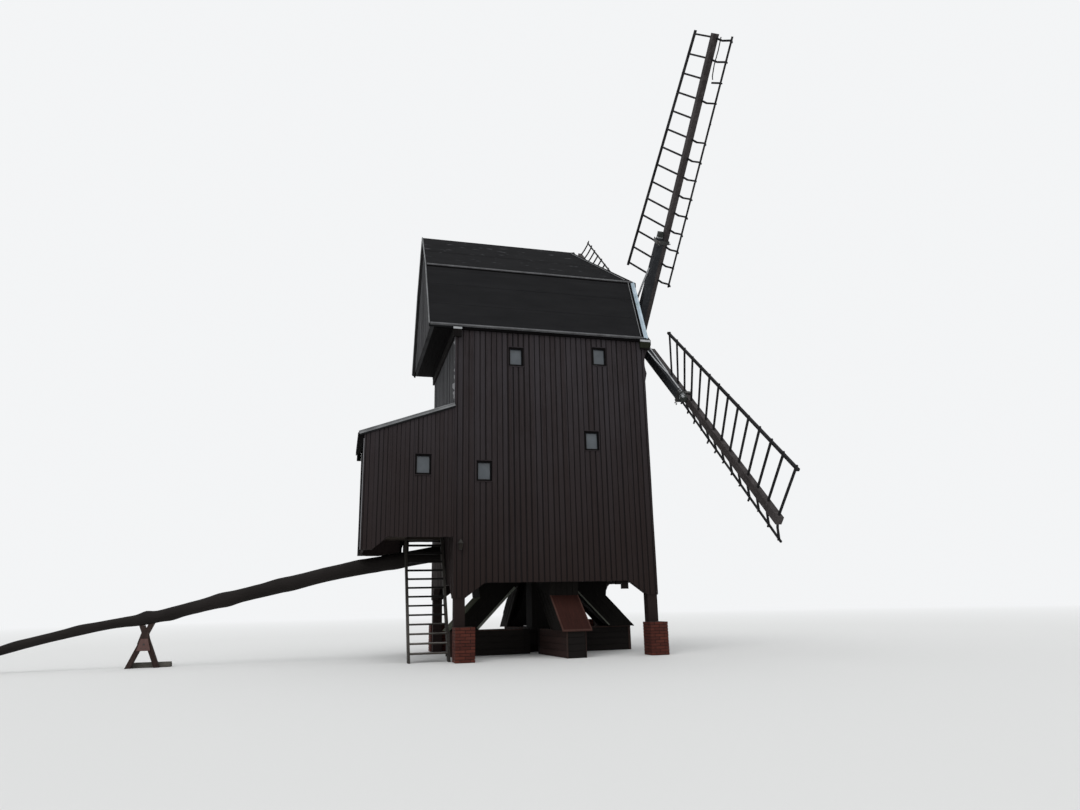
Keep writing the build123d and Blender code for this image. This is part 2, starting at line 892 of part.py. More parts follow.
# Tail pole and its trestle
def tail_pole(margin=0):
    """A bent tree trunk, straight between its stations, with a margin where it makes a hole."""
    sections = []
    for x, z, radius in [pole_inner] + pole_stations:
        sections.append((Plane(origin=(x, 0, z), z_dir=(-1, 0, 0)) * Circle(radius + margin)).face())
    return loft(sections, ruled=True)


def pole_trestle():
    """Two legs halved into each other where they cross, under a plate, cut to the trunk on them."""
    legs = []
    for side in (-1, 1):
        foot = (pole_trestle_x + side * trestle_foot_spread / 2, 0, -trestle_leg)
        head = (pole_trestle_x - side * trestle_top_spread / 2, 0, trestle_station[1])
        legs.append(bar(foot, head, trestle_leg, trestle_leg, (0, 1, 0)))
    below = block(
        (pole_trestle_x - trestle_foot_spread, pole_trestle_x + trestle_foot_spread),
        (-trestle_leg, trestle_leg),
        (-2 * trestle_leg, 0),
    )
    plate_top = (trestle_station[1] + trestle_leg) * trestle_foot_spread / (
        trestle_foot_spread + trestle_top_spread
    ) - trestle_leg + trestle_plate_drop
    half = trestle_plate_width / 2
    plate = profile_xz(
        [
            (pole_trestle_x - half, plate_top - trestle_plate_height),
            (pole_trestle_x + half, plate_top - trestle_plate_height),
            (pole_trestle_x + half / 2, plate_top),
            (pole_trestle_x - half / 2, plate_top),
        ],
        (-trestle_leg / 2 - trestle_plate_thickness, -trestle_leg / 2),
    )
    return legs[0] + legs[1] + plate - below - tail_pole()


def trestle_sill():
    """A half log on the ground, against the backs of the trestle's legs."""
    start = pole_trestle_x + sill_shift - sill_length / 2
    log = cylinder_x(sill_radius, (start, start + sill_length), trestle_leg / 2 + sill_radius, 0)
    below = block(
        (start - sill_radius, start + sill_length + sill_radius),
        (-sill_radius, trestle_leg + 2 * sill_radius),
        (-2 * sill_radius, 0),
    )
    return log - below


# Sails, each laid out along +Z from the shaft's axis, then turned about X to its place
def to_sail(index):
    plane_x = stock_plane_bd if index % 2 else stock_plane_ac
    return Pos(plane_x, 0, shaft_height) * Rot(rest_angle + 90 * index, 0, 0)


def stock():
    """Runs through the head to both sides and thins towards its ends, with two whips on its front."""
    outline = [
        (-stock_back_end, -stock_reach),
        (-stock_back_middle, 0),
        (-stock_back_end, stock_reach),
        (whip_back, stock_reach),
        (whip_back, -stock_reach),
    ]
    return profile_xz(outline, (-stock_width / 2, stock_width / 2))


def whip():
    return block((whip_back, whip_front), (-whip_width / 2, whip_width / 2), (whip_start, sail_radius))


def clamp():
    """An iron strap round the stock's end and the whip."""
    z = (clamp_end - clamp_length, clamp_end)
    side = stock_width / 2 + clamp_iron
    back = -stock_back_end - clamp_iron * 2
    return block((back, whip_front + clamp_iron), (-side, side), z) - stock() - whip() - clamp_core(z)


def clamp_core(z):
    """The space beside the whip, which is narrower than the stock."""
    return block((0, whip_front), (-stock_width / 2, stock_width / 2), z)


def along(start, end, radius):
    """A point of a longeron at a distance from the shaft's axis."""
    share = (radius - longeron_start) / (sail_radius - longeron_start)
    return tuple(a + (b - a) * share for a, b in zip(start, end))


def sail_lattice(index):
    """Rungs through the whip between a wide trailing side and a narrow leading side."""
    trailing = (
        (trailing_set_inner, trailing_width_inner, longeron_start),
        (trailing_set_tip, trailing_width_tip, sail_radius),
    )
    leading = (
        (leading_set_inner, -leading_width_inner, longeron_start),
        (leading_set_tip, -leading_width_tip, sail_radius),
    )
    solid = bar(*trailing, trailing_longeron, trailing_longeron, (0, 1, 0))
    solid += bar(*leading, leading_longeron, leading_longeron, (0, 1, 0))
    for rung in range(rung_count):
        radius = rung_first + rung * (rung_last - rung_first) / (rung_count - 1)
        centre = (whip_offset, 0, radius)
        solid += bar(along(*trailing, radius), centre, rung_width, rung_depth, (0, 0, 1))
        if index == damaged_sail and rung == missing_rung:
            continue
        outer = along(*leading, radius)
        middle = tuple((a + b) / 2 for a, b in zip(centre, outer))
        middle = (middle[0], middle[1], middle[2] - leading_rung_dip)
        solid += bar(outer, middle, rung_width, rung_depth, (0, 0, 1))
        if index == damaged_sail and rung == broken_rung:
            continue
        solid += bar(middle, centre, rung_width, rung_depth, (0, 0, 1))
    return to_sail(index) * (solid - whip() - stock() - clamp())


def windshaft():
    """A round timber shaft with a thin tail journal and an eight-sided head mortised for the stocks."""
    journal_end = shaft_tail_x + journal_length
    journal = cylinder_x(journal_radius, (shaft_tail_x, journal_end), 0, shaft_height)
    tail = Plane(origin=(journal_end, 0, shaft_height), z_dir=(1, 0, 0)) * Circle(shaft_tail_radius)
    neck = Plane(origin=(shaft_neck_x, 0, shaft_height), z_dir=(1, 0, 0)) * Circle(shaft_radius)
    taper = loft([tail.face(), neck.face()])
    front = cylinder_x(shaft_radius, (shaft_neck_x, head_start), 0, shaft_height)
    head = block((head_start, head_end), (-head_size / 2, head_size / 2), (-head_size / 2, head_size / 2))
    head = chamfer(head.edges().filter_by(Axis.X), head_chamfer)
    head = Pos(0, 0, shaft_height) * Rot(rest_angle, 0, 0) * head
    shaft = journal + taper + front + head
    return shaft - to_sail(0) * stock() - to_sail(1) * stock()


def main():
    os.makedirs("parts", exist_ok=True)
    parts = {
        "trestle_piers": trestle_piers(),
        "crosstree_lengthwise": crosstree(0, (crosstree_middle, crosstree_top)),
        "crosstree_crosswise": crosstree(1, (pier_height, crosstree_middle)),
        "quarter_bars": quarter_bars(),
        "strut_covers": strut_covers(),
        "main_post": main_post(),
        "sheers": sheers(),
        "tail_pole_bolster": tail_pole_bolster(),
        "corner_posts": corner_posts(),
        "corner_haunches": corner_haunches(),
        "brick_piers": brick_piers(),
        "lower_floor": lower_floor(),
        "side_wall_near": side_wall(),
        "side_wall_far": mirror(side_wall(), about=Plane.XZ),
        "front_wall": front_wall(),
        "rear_skirt": rear_skirt(),
        "rear_walls": rear_walls(),
        "rear_wall_over_door": rear_wall_over_door(),
        "crown_tree": crown_tree(),
        "upper_floor": upper_floor(),
        "window_frames": windows(window_frame),
        "window_panes": windows(window_pane),
        "wall_plates": wall_plates(),
        "cross_beams": cross_beams(),
        "weather_beam_brackets": weather_beam_brackets(),
        "front_gable_sides": front_gable_sides(),
        "front_gable_top": front_gable_top(),
        "shaft_bearings": shaft_bearings(),
        "roof_lower_slopes": roof_lower_slopes(),
        "roof_upper_far": roof_upper_slope(),
        "roof_upper_near": mirror(roof_upper_slope(), about=Plane.XZ),
        "roof_hip": roof_hip(),
        "rear_gable": rear_gable(),
        "rear_soffit": rear_soffit(),
        "front_verge_strips": front_verge_strips(),
        "roof_edge_strips": roof_edge_strips(),
        "porch_wall_near": porch_wall_near(),
        "porch_wall_outer": porch_wall_outer(),
        "porch_wall_far": porch_wall_far(),
        "porch_floor": porch_floor(),
        "porch_roof": porch_roof(),
        "stair_stringers": stair_stringers(),
        "stair_treads": stair_treads(),
        "wall_lamp": wall_lamp(),
        "tail_pole": tail_pole(),
        "pole_trestle": pole_trestle(),
        "trestle_sill": trestle_sill(),
        "windshaft": windshaft(),
        "sail_stocks": [to_sail(0) * stock(), to_sail(1) * stock()],
        "sail_whips": [to_sail(index) * whip() for index in range(4)],
        "stock_clamps": [to_sail(index) * clamp() for index in range(4)],
    }
    for index, letter in enumerate("abcd"):
        parts[f"sail_lattice_{letter}"] = sail_lattice(index)
    for name, solids in parts.items():
        save(name, solids)


main()
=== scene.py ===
import math
import random

import bmesh
import bpy
from mathutils import Matrix, Vector, noise


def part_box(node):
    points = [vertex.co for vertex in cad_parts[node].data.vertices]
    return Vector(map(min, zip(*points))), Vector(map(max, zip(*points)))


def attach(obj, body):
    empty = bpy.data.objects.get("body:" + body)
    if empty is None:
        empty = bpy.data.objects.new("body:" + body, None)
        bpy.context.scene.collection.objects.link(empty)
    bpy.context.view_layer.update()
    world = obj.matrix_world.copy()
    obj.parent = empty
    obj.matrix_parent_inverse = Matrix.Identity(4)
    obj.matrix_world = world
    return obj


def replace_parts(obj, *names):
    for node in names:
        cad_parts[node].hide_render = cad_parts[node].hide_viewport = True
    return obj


# The looks of a traditional post mill. Metres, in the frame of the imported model.
# Places along X are given from the middle of the body, as in the mill's drawing.

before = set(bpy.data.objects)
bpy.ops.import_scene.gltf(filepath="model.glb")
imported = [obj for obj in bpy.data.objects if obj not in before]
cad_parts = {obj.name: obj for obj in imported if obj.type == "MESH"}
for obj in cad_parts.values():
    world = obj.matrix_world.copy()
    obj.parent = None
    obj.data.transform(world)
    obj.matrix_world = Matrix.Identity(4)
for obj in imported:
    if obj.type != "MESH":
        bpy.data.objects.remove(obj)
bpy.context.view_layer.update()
random.seed(11)

# Sizes that the frame gives
wall_low, wall_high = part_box("side_wall_near")
MIDDLE = (wall_low.x + wall_high.x) / 2
HALF_LENGTH = (wall_high.x - wall_low.x) / 2
HALF_WIDTH = -wall_low.y
SKIRT = wall_low.z
WALL_TOP = wall_high.z
FLOOR_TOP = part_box("lower_floor")[1].z
eave_low, eave_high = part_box("roof_lower_slopes")
upper_low, upper_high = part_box("roof_upper_near")
ROOF_REAR = eave_low.x - MIDDLE
ROOF_FRONT = eave_high.x - MIDDLE
EAVE_Y = eave_high.y
HIP_FRONT = upper_high.x - MIDDLE
RIDGE_Z = upper_high.z
KINK_Y = -upper_low.y
POST_SIZE = 0.28
SHAFT_Z = (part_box("windshaft")[0].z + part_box("windshaft")[1].z) / 2

# Roof points that the boxes don't give
KINK_Z = 11.36
EAVE_Z = 8.97
HIP_RIDGE = 1.45
UNDER_EAVE = 8.912

# Sails
REST_ANGLE = math.radians(44)
STOCK_PLANES = (3.56, 3.86)
STOCK_REACH = 3.65
CLAMP_RADIUS = 3.57
STOCK_HALF = 0.14
WHIP_FRONT = 0.24
TOP_SAIL = 0


def at(x, y, z):
    """A point of the mill, with x from the middle of the body."""
    return Vector((MIDDLE + x, y, z))


def ripple(x, y, z):
    """Smooth unevenness from about -1 to 1, the same on every run."""
    return noise.noise(Vector((x, y, z)))


def put(name, data):
    """A new object in the scene."""
    thing = bpy.data.objects.new(name, data)
    bpy.context.scene.collection.objects.link(thing)
    return thing


# Meshes
class Pile:
    """Many closed pieces that become one mesh, each with a tone from 0 to 1 and a share of painted shade."""

    def __init__(self):
        self.points = []
        self.faces = []
        self.tones = []
        self.painted_shades = []

    def add(self, points, faces, tone=0.5, painted_shade=0.0):
        first = len(self.points)
        self.points += [tuple(p) for p in points]
        self.faces += [tuple(first + i for i in face) for face in faces]
        self.tones += [tone] * len(points)
        self.painted_shades += [painted_shade] * len(points)

    def tube(self, rings, tone=0.5, painted_shade=0.0):
        """A closed skin over rings of points, with flat ends."""
        count = len(rings[0])
        faces = []
        for ring in range(len(rings) - 1):
            for i in range(count):
                j = (i + 1) % count
                a = ring * count
                faces.append((a + i, a + j, a + count + j, a + count + i))
        last = (len(rings) - 1) * count
        faces.append(tuple(range(count)))
        faces.append(tuple(last + i for i in reversed(range(count))))
        self.add([p for ring in rings for p in ring], faces, tone, painted_shade)

    def plate(self, place, columns, rows, tone=0.5):
        """A closed sheet: place(s, t, side) gives its points, s and t from 0 to 1, side 1 outside."""
        stride = rows + 1
        spots = [(i / columns, j / rows) for i in range(columns + 1) for j in range(rows + 1)]
        points = [place(s, t, side) for side in (1, 0) for s, t in spots]
        back = (columns + 1) * stride
        faces = []
        for i in range(columns):
            for j in range(rows):
                a = i * stride + j
                quad = (a, a + stride, a + stride + 1, a + 1)
                faces += [quad, tuple(back + k for k in reversed(quad))]
        rim = [i * stride for i in range(columns + 1)]
        rim += [columns * stride + j for j in range(1, rows + 1)]
        rim += [i * stride + rows for i in reversed(range(columns))]
        rim += list(reversed(range(1, rows)))
        for a, b in zip(rim, rim[1:] + rim[:1]):
            faces.append((a, back + a, back + b, b))
        self.add(points, faces, tone)

    def build(self, name, paint, slot=None, body="mill", smooth=False):
        """Makes the pile one object, which rides a body. The slot argument is not used."""
        mesh = bpy.data.meshes.new(name)
        mesh.from_pydata(self.points, [], self.faces)
        for key, values in (("tone", self.tones), ("painted_shade", self.painted_shades)):
            mesh.attributes.new(key, "FLOAT", "POINT").data.foreach_set("value", values)
        shell = bmesh.new()
        shell.from_mesh(mesh)
        bmesh.ops.recalc_face_normals(shell, faces=shell.faces)
        shell.to_mesh(mesh)
        shell.free()
        if smooth:
            mesh.shade_smooth()
        mesh.materials.append(paints[paint])
        thing = put(name, mesh)
        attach(thing, body)
        return thing


def piles(count):
    return [Pile() for _ in range(count)]


BOARD_RISE = 0.026


class Face:
    """A flat side of the mill: u runs across it, v up it, and w out of it."""

    def __init__(self, origin, across, up, out):
        self.origin = Vector(origin)
        self.across = Vector(across)
        self.up = Vector(up)
        self.out = Vector(out)

    def point(self, u, v, w):
        return self.origin + self.across * u + self.up * v + self.out * w

    def slab(self, pile, u, v, w, tone=0.5, chamfer=0.0):
        """A box between two values of u, v and w, its outer edges chamfered."""
        c = chamfer
        sides = [(0, w[0]), (0, w[1] - c), (c, w[1])] if c else [(0, w[0]), (0, w[1])]
        rings = []
        for inset, height in sides:
            u0, u1, v0, v1 = u[0] + inset, u[1] - inset, v[0] + inset, v[1] - inset
            rings.append([self.point(*p, height) for p in ((u0, v0), (u1, v0), (u1, v1), (u0, v1))])
        pile.tube(rings, tone)

    def bolt(self, pile, u, v, w, radius, height, sides=6, tone=0.5):
        """A nut or bolt head on the face, with a small crown."""
        rings = []
        for share, lift in ((1.0, 0.0), (1.0, height * 0.8), (0.75, height)):
            ring = []
            for i in range(sides):
                turn = 2 * math.pi * i / sides
                side, rise = share * radius * math.cos(turn), share * radius * math.sin(turn)
                ring.append(self.point(u + side, v + rise, w + lift))
            rings.append(ring)
        pile.tube(rings, tone)


def hole_spans(low, high, holes, u):
    """What is left of a board between two heights, beside its holes at u."""
    spans = [(low, high)]
    for start, end, gap in holes:
        if not start < u < end:
            continue
        cut_low, cut_high = gap(u)
        left = []
        for a, b in spans:
            left += [(a, min(b, cut_low)), (max(a, cut_high), b)]
        spans = [(a, b) for a, b in left if b - a > 0.02]
    return spans


def strip(pile, face, u, low, high, w, tone, seed, wander=0.0, chamfer=0.004, painted_shade=0.0):
    """One board from a low to a high edge line, its edges chamfered and a little crooked."""
    u0, u1 = u
    w0, w1 = w
    c = min(chamfer, (u1 - u0) / 3)
    section = [(u0, w0), (u0, w1 - c), (u0 + c, w1), (u1 - c, w1), (u1, w1 - c), (u1, w0)]
    middle_low, middle_high = low((u0 + u1) / 2), high((u0 + u1) / 2)
    count = max(2, int((middle_high - middle_low) / 0.45) + 1)
    rings = []
    for step in range(count + 1):
        share = step / count
        height = middle_low + (middle_high - middle_low) * share
        shift = ripple(seed * 7.13, height * 0.9, 1.7) * wander
        lift = ripple(seed * 3.71, height * 1.3, 8.2) * wander * 0.5
        rings.append([
            face.point(a + shift, low(a) + (high(a) - low(a)) * share, b + (lift if b > w0 else 0))
            for a, b in section
        ])
    pile.tube(rings, tone, painted_shade)


def clad(
    name, face, span, low, high, paint, slot=None, holes=(),
    pitch=0.157, gap=0.034, rise=BOARD_RISE, ragged=0.006, laths=0.4,
):
    """Upright cover boards over recessed ones, round the openings of a wall.

    The low and high edges are functions of u. Laths is the share of boards with a thin pale lath on one edge,
    its pale tone a painted highlight where the edge catches light.
    """
    boards = Pile()
    count = max(1, round((span[1] - span[0]) / pitch))
    width = (span[1] - span[0]) / count
    cuts = sorted(edge for hole in holes for edge in hole[:2])

    def lay(left, right, w, tone, painted_shade, seed, wander):
        edges = [left] + [c for c in cuts if left < c < right] + [right]
        uneven = random.uniform(-ragged, ragged)
        for a, b in zip(edges, edges[1:]):
            if b - a < 0.004:
                continue
            middle = (a + b) / 2
            for bottom, top in hole_spans(low(middle), high(middle), holes, middle):
                whole_low = abs(bottom - low(middle)) < 1e-6
                whole_high = abs(top - high(middle)) < 1e-6
                edge_low = (lambda u: low(u) + uneven) if whole_low else (lambda u, z=bottom: z)
                edge_high = high if whole_high else (lambda u, z=top: z)
                strip(boards, face, (a, b), edge_low, edge_high, w, tone, seed, wander, painted_shade=painted_shade)

    for index in range(count):
        left = span[0] + index * width
        right = left + width
        # The recessed boards between the cover boards carry painted shade, which darkens them towards
        # near-black.
        lay(left + 0.002, right - 0.002, (-0.004, 0.005), random.random(), 0.9, random.random() * 99, 0.002)
    for index in range(count + 1):
        middle = span[0] + index * width
        half = (width - gap) / 2
        left = max(span[0], middle - half + random.uniform(-0.009, 0.009))
        right = min(span[1], middle + half + random.uniform(-0.009, 0.009))
        lift = random.uniform(-0.004, 0.004)
        lay(left, right, (0.003, rise + lift), random.random(), 0.0, random.random() * 99, 0.006)
        if laths and random.random() < laths and right - left > 0.06:
            edge = right - 0.016 if random.random() < 0.7 else left + 0.002
            # The lath's pale tone is a painted highlight.
            lay(edge, edge + 0.014, (0.01, rise + 0.007), 1.6, 0.0, random.random() * 99, 0.004)
    boards.build(name, paint, slot)


# Materials
paints = {}


class Paint:
    """A procedural material, filed in paints by its name, and short ways to add its nodes."""

    def __init__(self, name, roughness=0.8, metallic=0.0, specular=0.3):
        paints[name] = bpy.data.materials.new(name)
        paints[name].use_nodes = True
        self.tree = paints[name].node_tree
        self.shader = self.tree.nodes["Principled BSDF"]
        self.shader.inputs["Metallic"].default_value = metallic
        self.shader.inputs["Roughness"].default_value = roughness
        self.shader.inputs["Specular IOR Level"].default_value = specular
        self.place = self.tree.nodes.new("ShaderNodeTexCoord").outputs["Object"]

    def feed(self, socket, value):
        """Links or sets a socket. A colour has three numbers."""
        if isinstance(value, bpy.types.NodeSocket):
            self.tree.links.new(value, socket)
        else:
            socket.default_value = (*value, 1.0) if isinstance(value, tuple) else value

    def node(self, kind, **inputs):
        made = self.tree.nodes.new("ShaderNode" + kind)
        for key, value in inputs.items():
            self.feed(made.inputs[key], value)
        return made

    def stretched(self, scale):
        """Texture places for a pattern that is longer where the scale is larger."""
        mapping = self.node("Mapping", Vector=self.place)
        mapping.vector_type = "TEXTURE"
        mapping.inputs["Scale"].default_value = scale
        return mapping.outputs["Vector"]

    def cloud(self, scale, vector=None, detail=4.0, roughness=0.55):
        vector = vector or self.place
        made = self.node("TexNoise", Vector=vector, Scale=scale, Detail=detail, Roughness=roughness)
        return made.outputs["Fac"]

    def ramp(self, value, low, high):
        """0 below low, 1 above high, straight between."""
        made = self.node("MapRange", Value=value)
        made.inputs["From Min"].default_value = low
        made.inputs["From Max"].default_value = high
        return made.outputs["Result"]

    def math(self, operation, a, b=0.0):
        made = self.tree.nodes.new("ShaderNodeMath")
        made.operation = operation
        for socket, value in zip(made.inputs, (a, b)):
            self.feed(socket, value)
        return made.outputs[0]

    def share(self, value, low, high, most):
        """A ramp that ends at most."""
        return self.math("MULTIPLY", self.ramp(value, low, high), most)

    def mix(self, share, a, b):
        made = self.tree.nodes.new("ShaderNodeMix")
        made.data_type = "RGBA"
        for index, value in ((0, share), (6, a), (7, b)):
            self.feed(made.inputs[index], value)
        return made.outputs[2]

    def attribute(self, name):
        made = self.tree.nodes.new("ShaderNodeAttribute")
        made.attribute_name = name
        return made.outputs["Fac"]

    def height(self):
        return self.node("SeparateXYZ", Vector=self.place).outputs["Z"]

    def colour(self, value):
        self.feed(self.shader.inputs["Base Color"], value)

    def bump(self, value, distance, strength=1.0):
        made = self.node("Bump", Height=value)
        made.inputs["Distance"].default_value = distance
        made.inputs["Strength"].default_value = strength
        self.feed(self.shader.inputs["Normal"], made.outputs["Normal"])


def wood(name, base, worn, grain=(0.05, 0.05, 1.2), height_shade=None, contrast=1.0, specular=0.16):
    """Weathered timber: long grain, a tone for each board and worn pale streaks.

    Shade by height, when given, is painted shade: the height at which a third colour is full, the height at
    which it ends, and that colour.
    """
    paint = Paint(name, roughness=0.82, specular=specular)
    along = paint.stretched(grain)
    fibres = paint.cloud(1.0, along, detail=8.0, roughness=0.65)
    fine = paint.cloud(4.0, along, detail=6.0, roughness=0.6)
    patches = paint.cloud(0.7, detail=3.0)
    dark = tuple(0.62 * c for c in base)
    colour = paint.mix(paint.ramp(fibres, 0.35, 0.68), dark, base)
    streaks = paint.share(fine, 0.5, 0.72, 0.55 * contrast)
    board = paint.math("MULTIPLY", paint.attribute("tone"), 0.5 * contrast)
    weather = paint.share(patches, 0.42, 0.7, 0.35 * contrast)
    for share in (streaks, board, weather):
        colour = paint.mix(share, colour, worn)
    # Painted shade by height: the colour darkens from one height to the other.
    if height_shade:
        full, end, height_shade_colour = height_shade
        wobble = paint.math("MULTIPLY", paint.cloud(1.3), 1.6)
        low = paint.ramp(paint.math("ADD", paint.height(), wobble), end, full)
        colour = paint.mix(low, colour, height_shade_colour)
    # Painted shade: the point attribute darkens the colour towards a third of the base, on the recessed
    # boards.
    colour = paint.mix(paint.attribute("painted_shade"), colour, tuple(0.3 * c for c in base))
    paint.colour(colour)
    paint.bump(paint.math("ADD", fibres, paint.math("MULTIPLY", fine, 0.5)), 0.004)


def felt(name, base, pale):
    """Mineral roofing felt: fine grit, soft streaks down the slope and, near the ridge, pale scuffs."""
    paint = Paint(name, roughness=0.9, specular=0.14)
    grit = paint.cloud(160.0, detail=2.0)
    streaks = paint.cloud(1.0, paint.stretched((1.1, 0.22, 0.35)), detail=5.0)
    bands = paint.cloud(1.0, paint.stretched((2.4, 0.12, 0.12)), detail=4.0)
    colour = paint.mix(paint.ramp(streaks, 0.3, 0.75), base, pale)
    lighter = tuple(1.5 * c for c in pale)
    colour = paint.mix(paint.share(bands, 0.55, 0.8, 0.5), colour, lighter)
    colour = paint.mix(paint.share(grit, 0.5, 0.8, 0.35), colour, lighter)
    spots = paint.ramp(paint.cloud(1.0, paint.stretched((0.35, 0.09, 0.09)), detail=3.0), 0.62, 0.72)
    near_ridge = paint.share(paint.height(), 11.2, 12.2, 0.7)
    scuff = tuple(7.0 * c for c in pale)
    colour = paint.mix(paint.math("MULTIPLY", spots, near_ridge), colour, scuff)
    paint.colour(colour)
    paint.bump(paint.math("ADD", grit, streaks), 0.003, 0.6)


def sheet_metal(name, base, stain, moss=None, roughness=0.5, metallic=0.35):
    """Weathered sheet metal with run-off stains."""
    paint = Paint(name, roughness=roughness, metallic=metallic, specular=0.5)
    clouds = paint.cloud(3.0, detail=6.0)
    runs = paint.cloud(1.0, paint.stretched((0.08, 0.08, 0.7)), detail=5.0)
    colour = paint.mix(paint.ramp(clouds, 0.35, 0.7), base, stain)
    colour = paint.mix(paint.share(runs, 0.5, 0.72, 0.5), colour, stain)
    if moss:
        colour = paint.mix(paint.share(paint.cloud(1.9), 0.56, 0.68, 0.6), colour, moss)
    paint.colour(colour)
    uneven = paint.math("ADD", paint.math("MULTIPLY", clouds, 0.3), roughness - 0.15)
    paint.feed(paint.shader.inputs["Roughness"], uneven)
    paint.bump(clouds, 0.002, 0.5)


def brick_clay():
    """Red-brown brick with a tone for each brick, sooty clouds and pale speckles."""
    paint = Paint("brick_clay", roughness=0.85, specular=0.25)
    speckle = paint.cloud(45.0, detail=6.0)
    clouds = paint.cloud(6.0)
    colour = paint.mix(paint.attribute("tone"), (0.05, 0.0105, 0.0065), (0.085, 0.02, 0.012))
    colour = paint.mix(paint.share(clouds, 0.45, 0.75, 0.5), colour, (0.045, 0.013, 0.01))
    colour = paint.mix(paint.share(speckle, 0.55, 0.8, 0.5), colour, (0.13, 0.05, 0.035))
    paint.colour(colour)
    paint.bump(speckle, 0.003, 0.7)


def mortar():
    """Dark sandy joints."""
    paint = Paint("mortar", roughness=0.95, specular=0.2)
    sand = paint.cloud(120.0, detail=3.0)
    paint.colour(paint.mix(paint.ramp(sand, 0.35, 0.7), (0.012, 0.006, 0.0045), (0.026, 0.014, 0.011)))
    paint.bump(sand, 0.002)


def glass(name, low, high, roughness=0.12, specular=0.6):
    """Opaque old glass with a soft gloss, whose colour is painted: a dark room behind it as painted shade,
    and on the window panes a painted reflection of the grey sky.
    """
    paint = Paint(name, roughness=roughness, specular=specular)
    waves = paint.cloud(2.5, detail=2.0)
    paint.colour(paint.mix(paint.ramp(waves, 0.3, 0.7), low, high))
    paint.bump(waves, 0.002, 0.4)


ACROSS = (0.8, 0.8, 0.05)
LENGTHWAYS = (1.2, 0.05, 0.05)
SLANTING = (0.3, 0.3, 0.3)

# The side walls' boards darken towards the bottom: painted shade.
wood(
    "dark_boards", (0.0285, 0.0215, 0.0225), (0.0425, 0.0385, 0.0435),
    height_shade=(2.6, 8.2, (0.0165, 0.0102, 0.0092)),
)
wood("grey_boards", (0.03, 0.03, 0.032), (0.085, 0.085, 0.09), contrast=1.3)
wood("gable_boards", (0.016, 0.016, 0.0172), (0.05, 0.05, 0.0535), contrast=1.5)
wood("torn_edge", (0.1, 0.1, 0.105), (0.24, 0.24, 0.25), contrast=1.5)
# Near-black boards are painted shade: the soffits, window heads, bands under the roof's edges, far barge
# boards, the porch's outer wall, fascia and landing posts, and strips between irons.
wood("shadow_black_boards", (0.003, 0.0026, 0.0028), (0.006, 0.0052, 0.0055), specular=0.04)
wood("window_timber", (0.008, 0.007, 0.007), (0.016, 0.0145, 0.0145))
# Near-black timbers under the body: painted shade, which the pale floor would otherwise light.
wood("structure_timber", (0.006, 0.005, 0.0048), (0.015, 0.0125, 0.0115), specular=0.08)
wood("mossy_beam", (0.008, 0.0085, 0.005), (0.026, 0.03, 0.018), specular=0.08)
wood("strut_boards", (0.027, 0.0075, 0.005), (0.044, 0.013, 0.009), grain=(0.06, 1.0, 1.0), contrast=0.7)
wood("strut_edge", (0.045, 0.018, 0.014), (0.09, 0.045, 0.036))
wood("weathered_edge", (0.07, 0.075, 0.06), (0.17, 0.18, 0.15))
# Near-black hood boards: painted shade.
wood("dark_strut", (0.0055, 0.0045, 0.004), (0.012, 0.0105, 0.009), specular=0.08)
wood("mossy_strut", (0.035, 0.042, 0.022), (0.075, 0.078, 0.05))
# Near-black casing and pier boards: painted shade.
wood("pier_boards", (0.006, 0.0045, 0.004), (0.012, 0.0095, 0.008), grain=ACROSS)
wood("casing_brown", (0.022, 0.0105, 0.009), (0.038, 0.02, 0.017), grain=ACROSS)
wood("casing_edge", (0.02, 0.01, 0.008), (0.05, 0.03, 0.025), grain=SLANTING)
wood("floor_boards", (0.03, 0.023, 0.018), (0.07, 0.055, 0.045), grain=LENGTHWAYS)
# The stair's timbers and its worn edges below darken towards the top, under the porch: painted shade.
wood(
    "stair_timber", (0.045, 0.038, 0.032), (0.12, 0.105, 0.09), grain=(1.0, 0.06, 0.06),
    height_shade=(1.9, 1.3, (0.0065, 0.0055, 0.005)),
)
wood(
    "stair_edge", (0.13, 0.12, 0.11), (0.28, 0.27, 0.25), grain=(0.6, 0.06, 0.06),
    height_shade=(2.1, 1.4, (0.009, 0.008, 0.0075)),
)
wood("stringer_timber", (0.03, 0.026, 0.022), (0.12, 0.112, 0.1), grain=(0.06, 0.06, 1.0))
wood("pole_timber", (0.0068, 0.0054, 0.005), (0.0235, 0.0195, 0.0178), grain=(0.9, 0.05, 0.05))
wood("trestle_timber", (0.03, 0.017, 0.014), (0.075, 0.055, 0.048), grain=(0.07, 0.07, 0.6))
wood("plate_timber", (0.09, 0.045, 0.04), (0.16, 0.1, 0.09), grain=(0.07, 0.07, 0.6))
wood("sill_timber", (0.07, 0.065, 0.055), (0.16, 0.15, 0.13), grain=(0.7, 0.05, 0.05))
wood("sail_timber", (0.014, 0.0135, 0.0145), (0.034, 0.033, 0.036), grain=SLANTING)
wood("whip_timber", (0.048, 0.041, 0.041), (0.1, 0.09, 0.09), grain=SLANTING)
wood("stock_timber", (0.025, 0.027, 0.031), (0.053, 0.056, 0.062), grain=SLANTING)
wood("clamp_wood", (0.035, 0.039, 0.035), (0.08, 0.085, 0.08), grain=SLANTING)
felt("roof_felt", (0.0066, 0.0066, 0.0074), (0.0112, 0.0112, 0.0122))
sheet_metal("zinc", (0.44, 0.53, 0.6), (0.3, 0.38, 0.43), moss=(0.24, 0.33, 0.27))
sheet_metal("edge_metal", (0.13, 0.132, 0.137), (0.07, 0.07, 0.073))
sheet_metal("nail_metal", (0.42, 0.43, 0.44), (0.28, 0.29, 0.3))
sheet_metal("cap_metal", (0.5, 0.51, 0.52), (0.34, 0.35, 0.36))
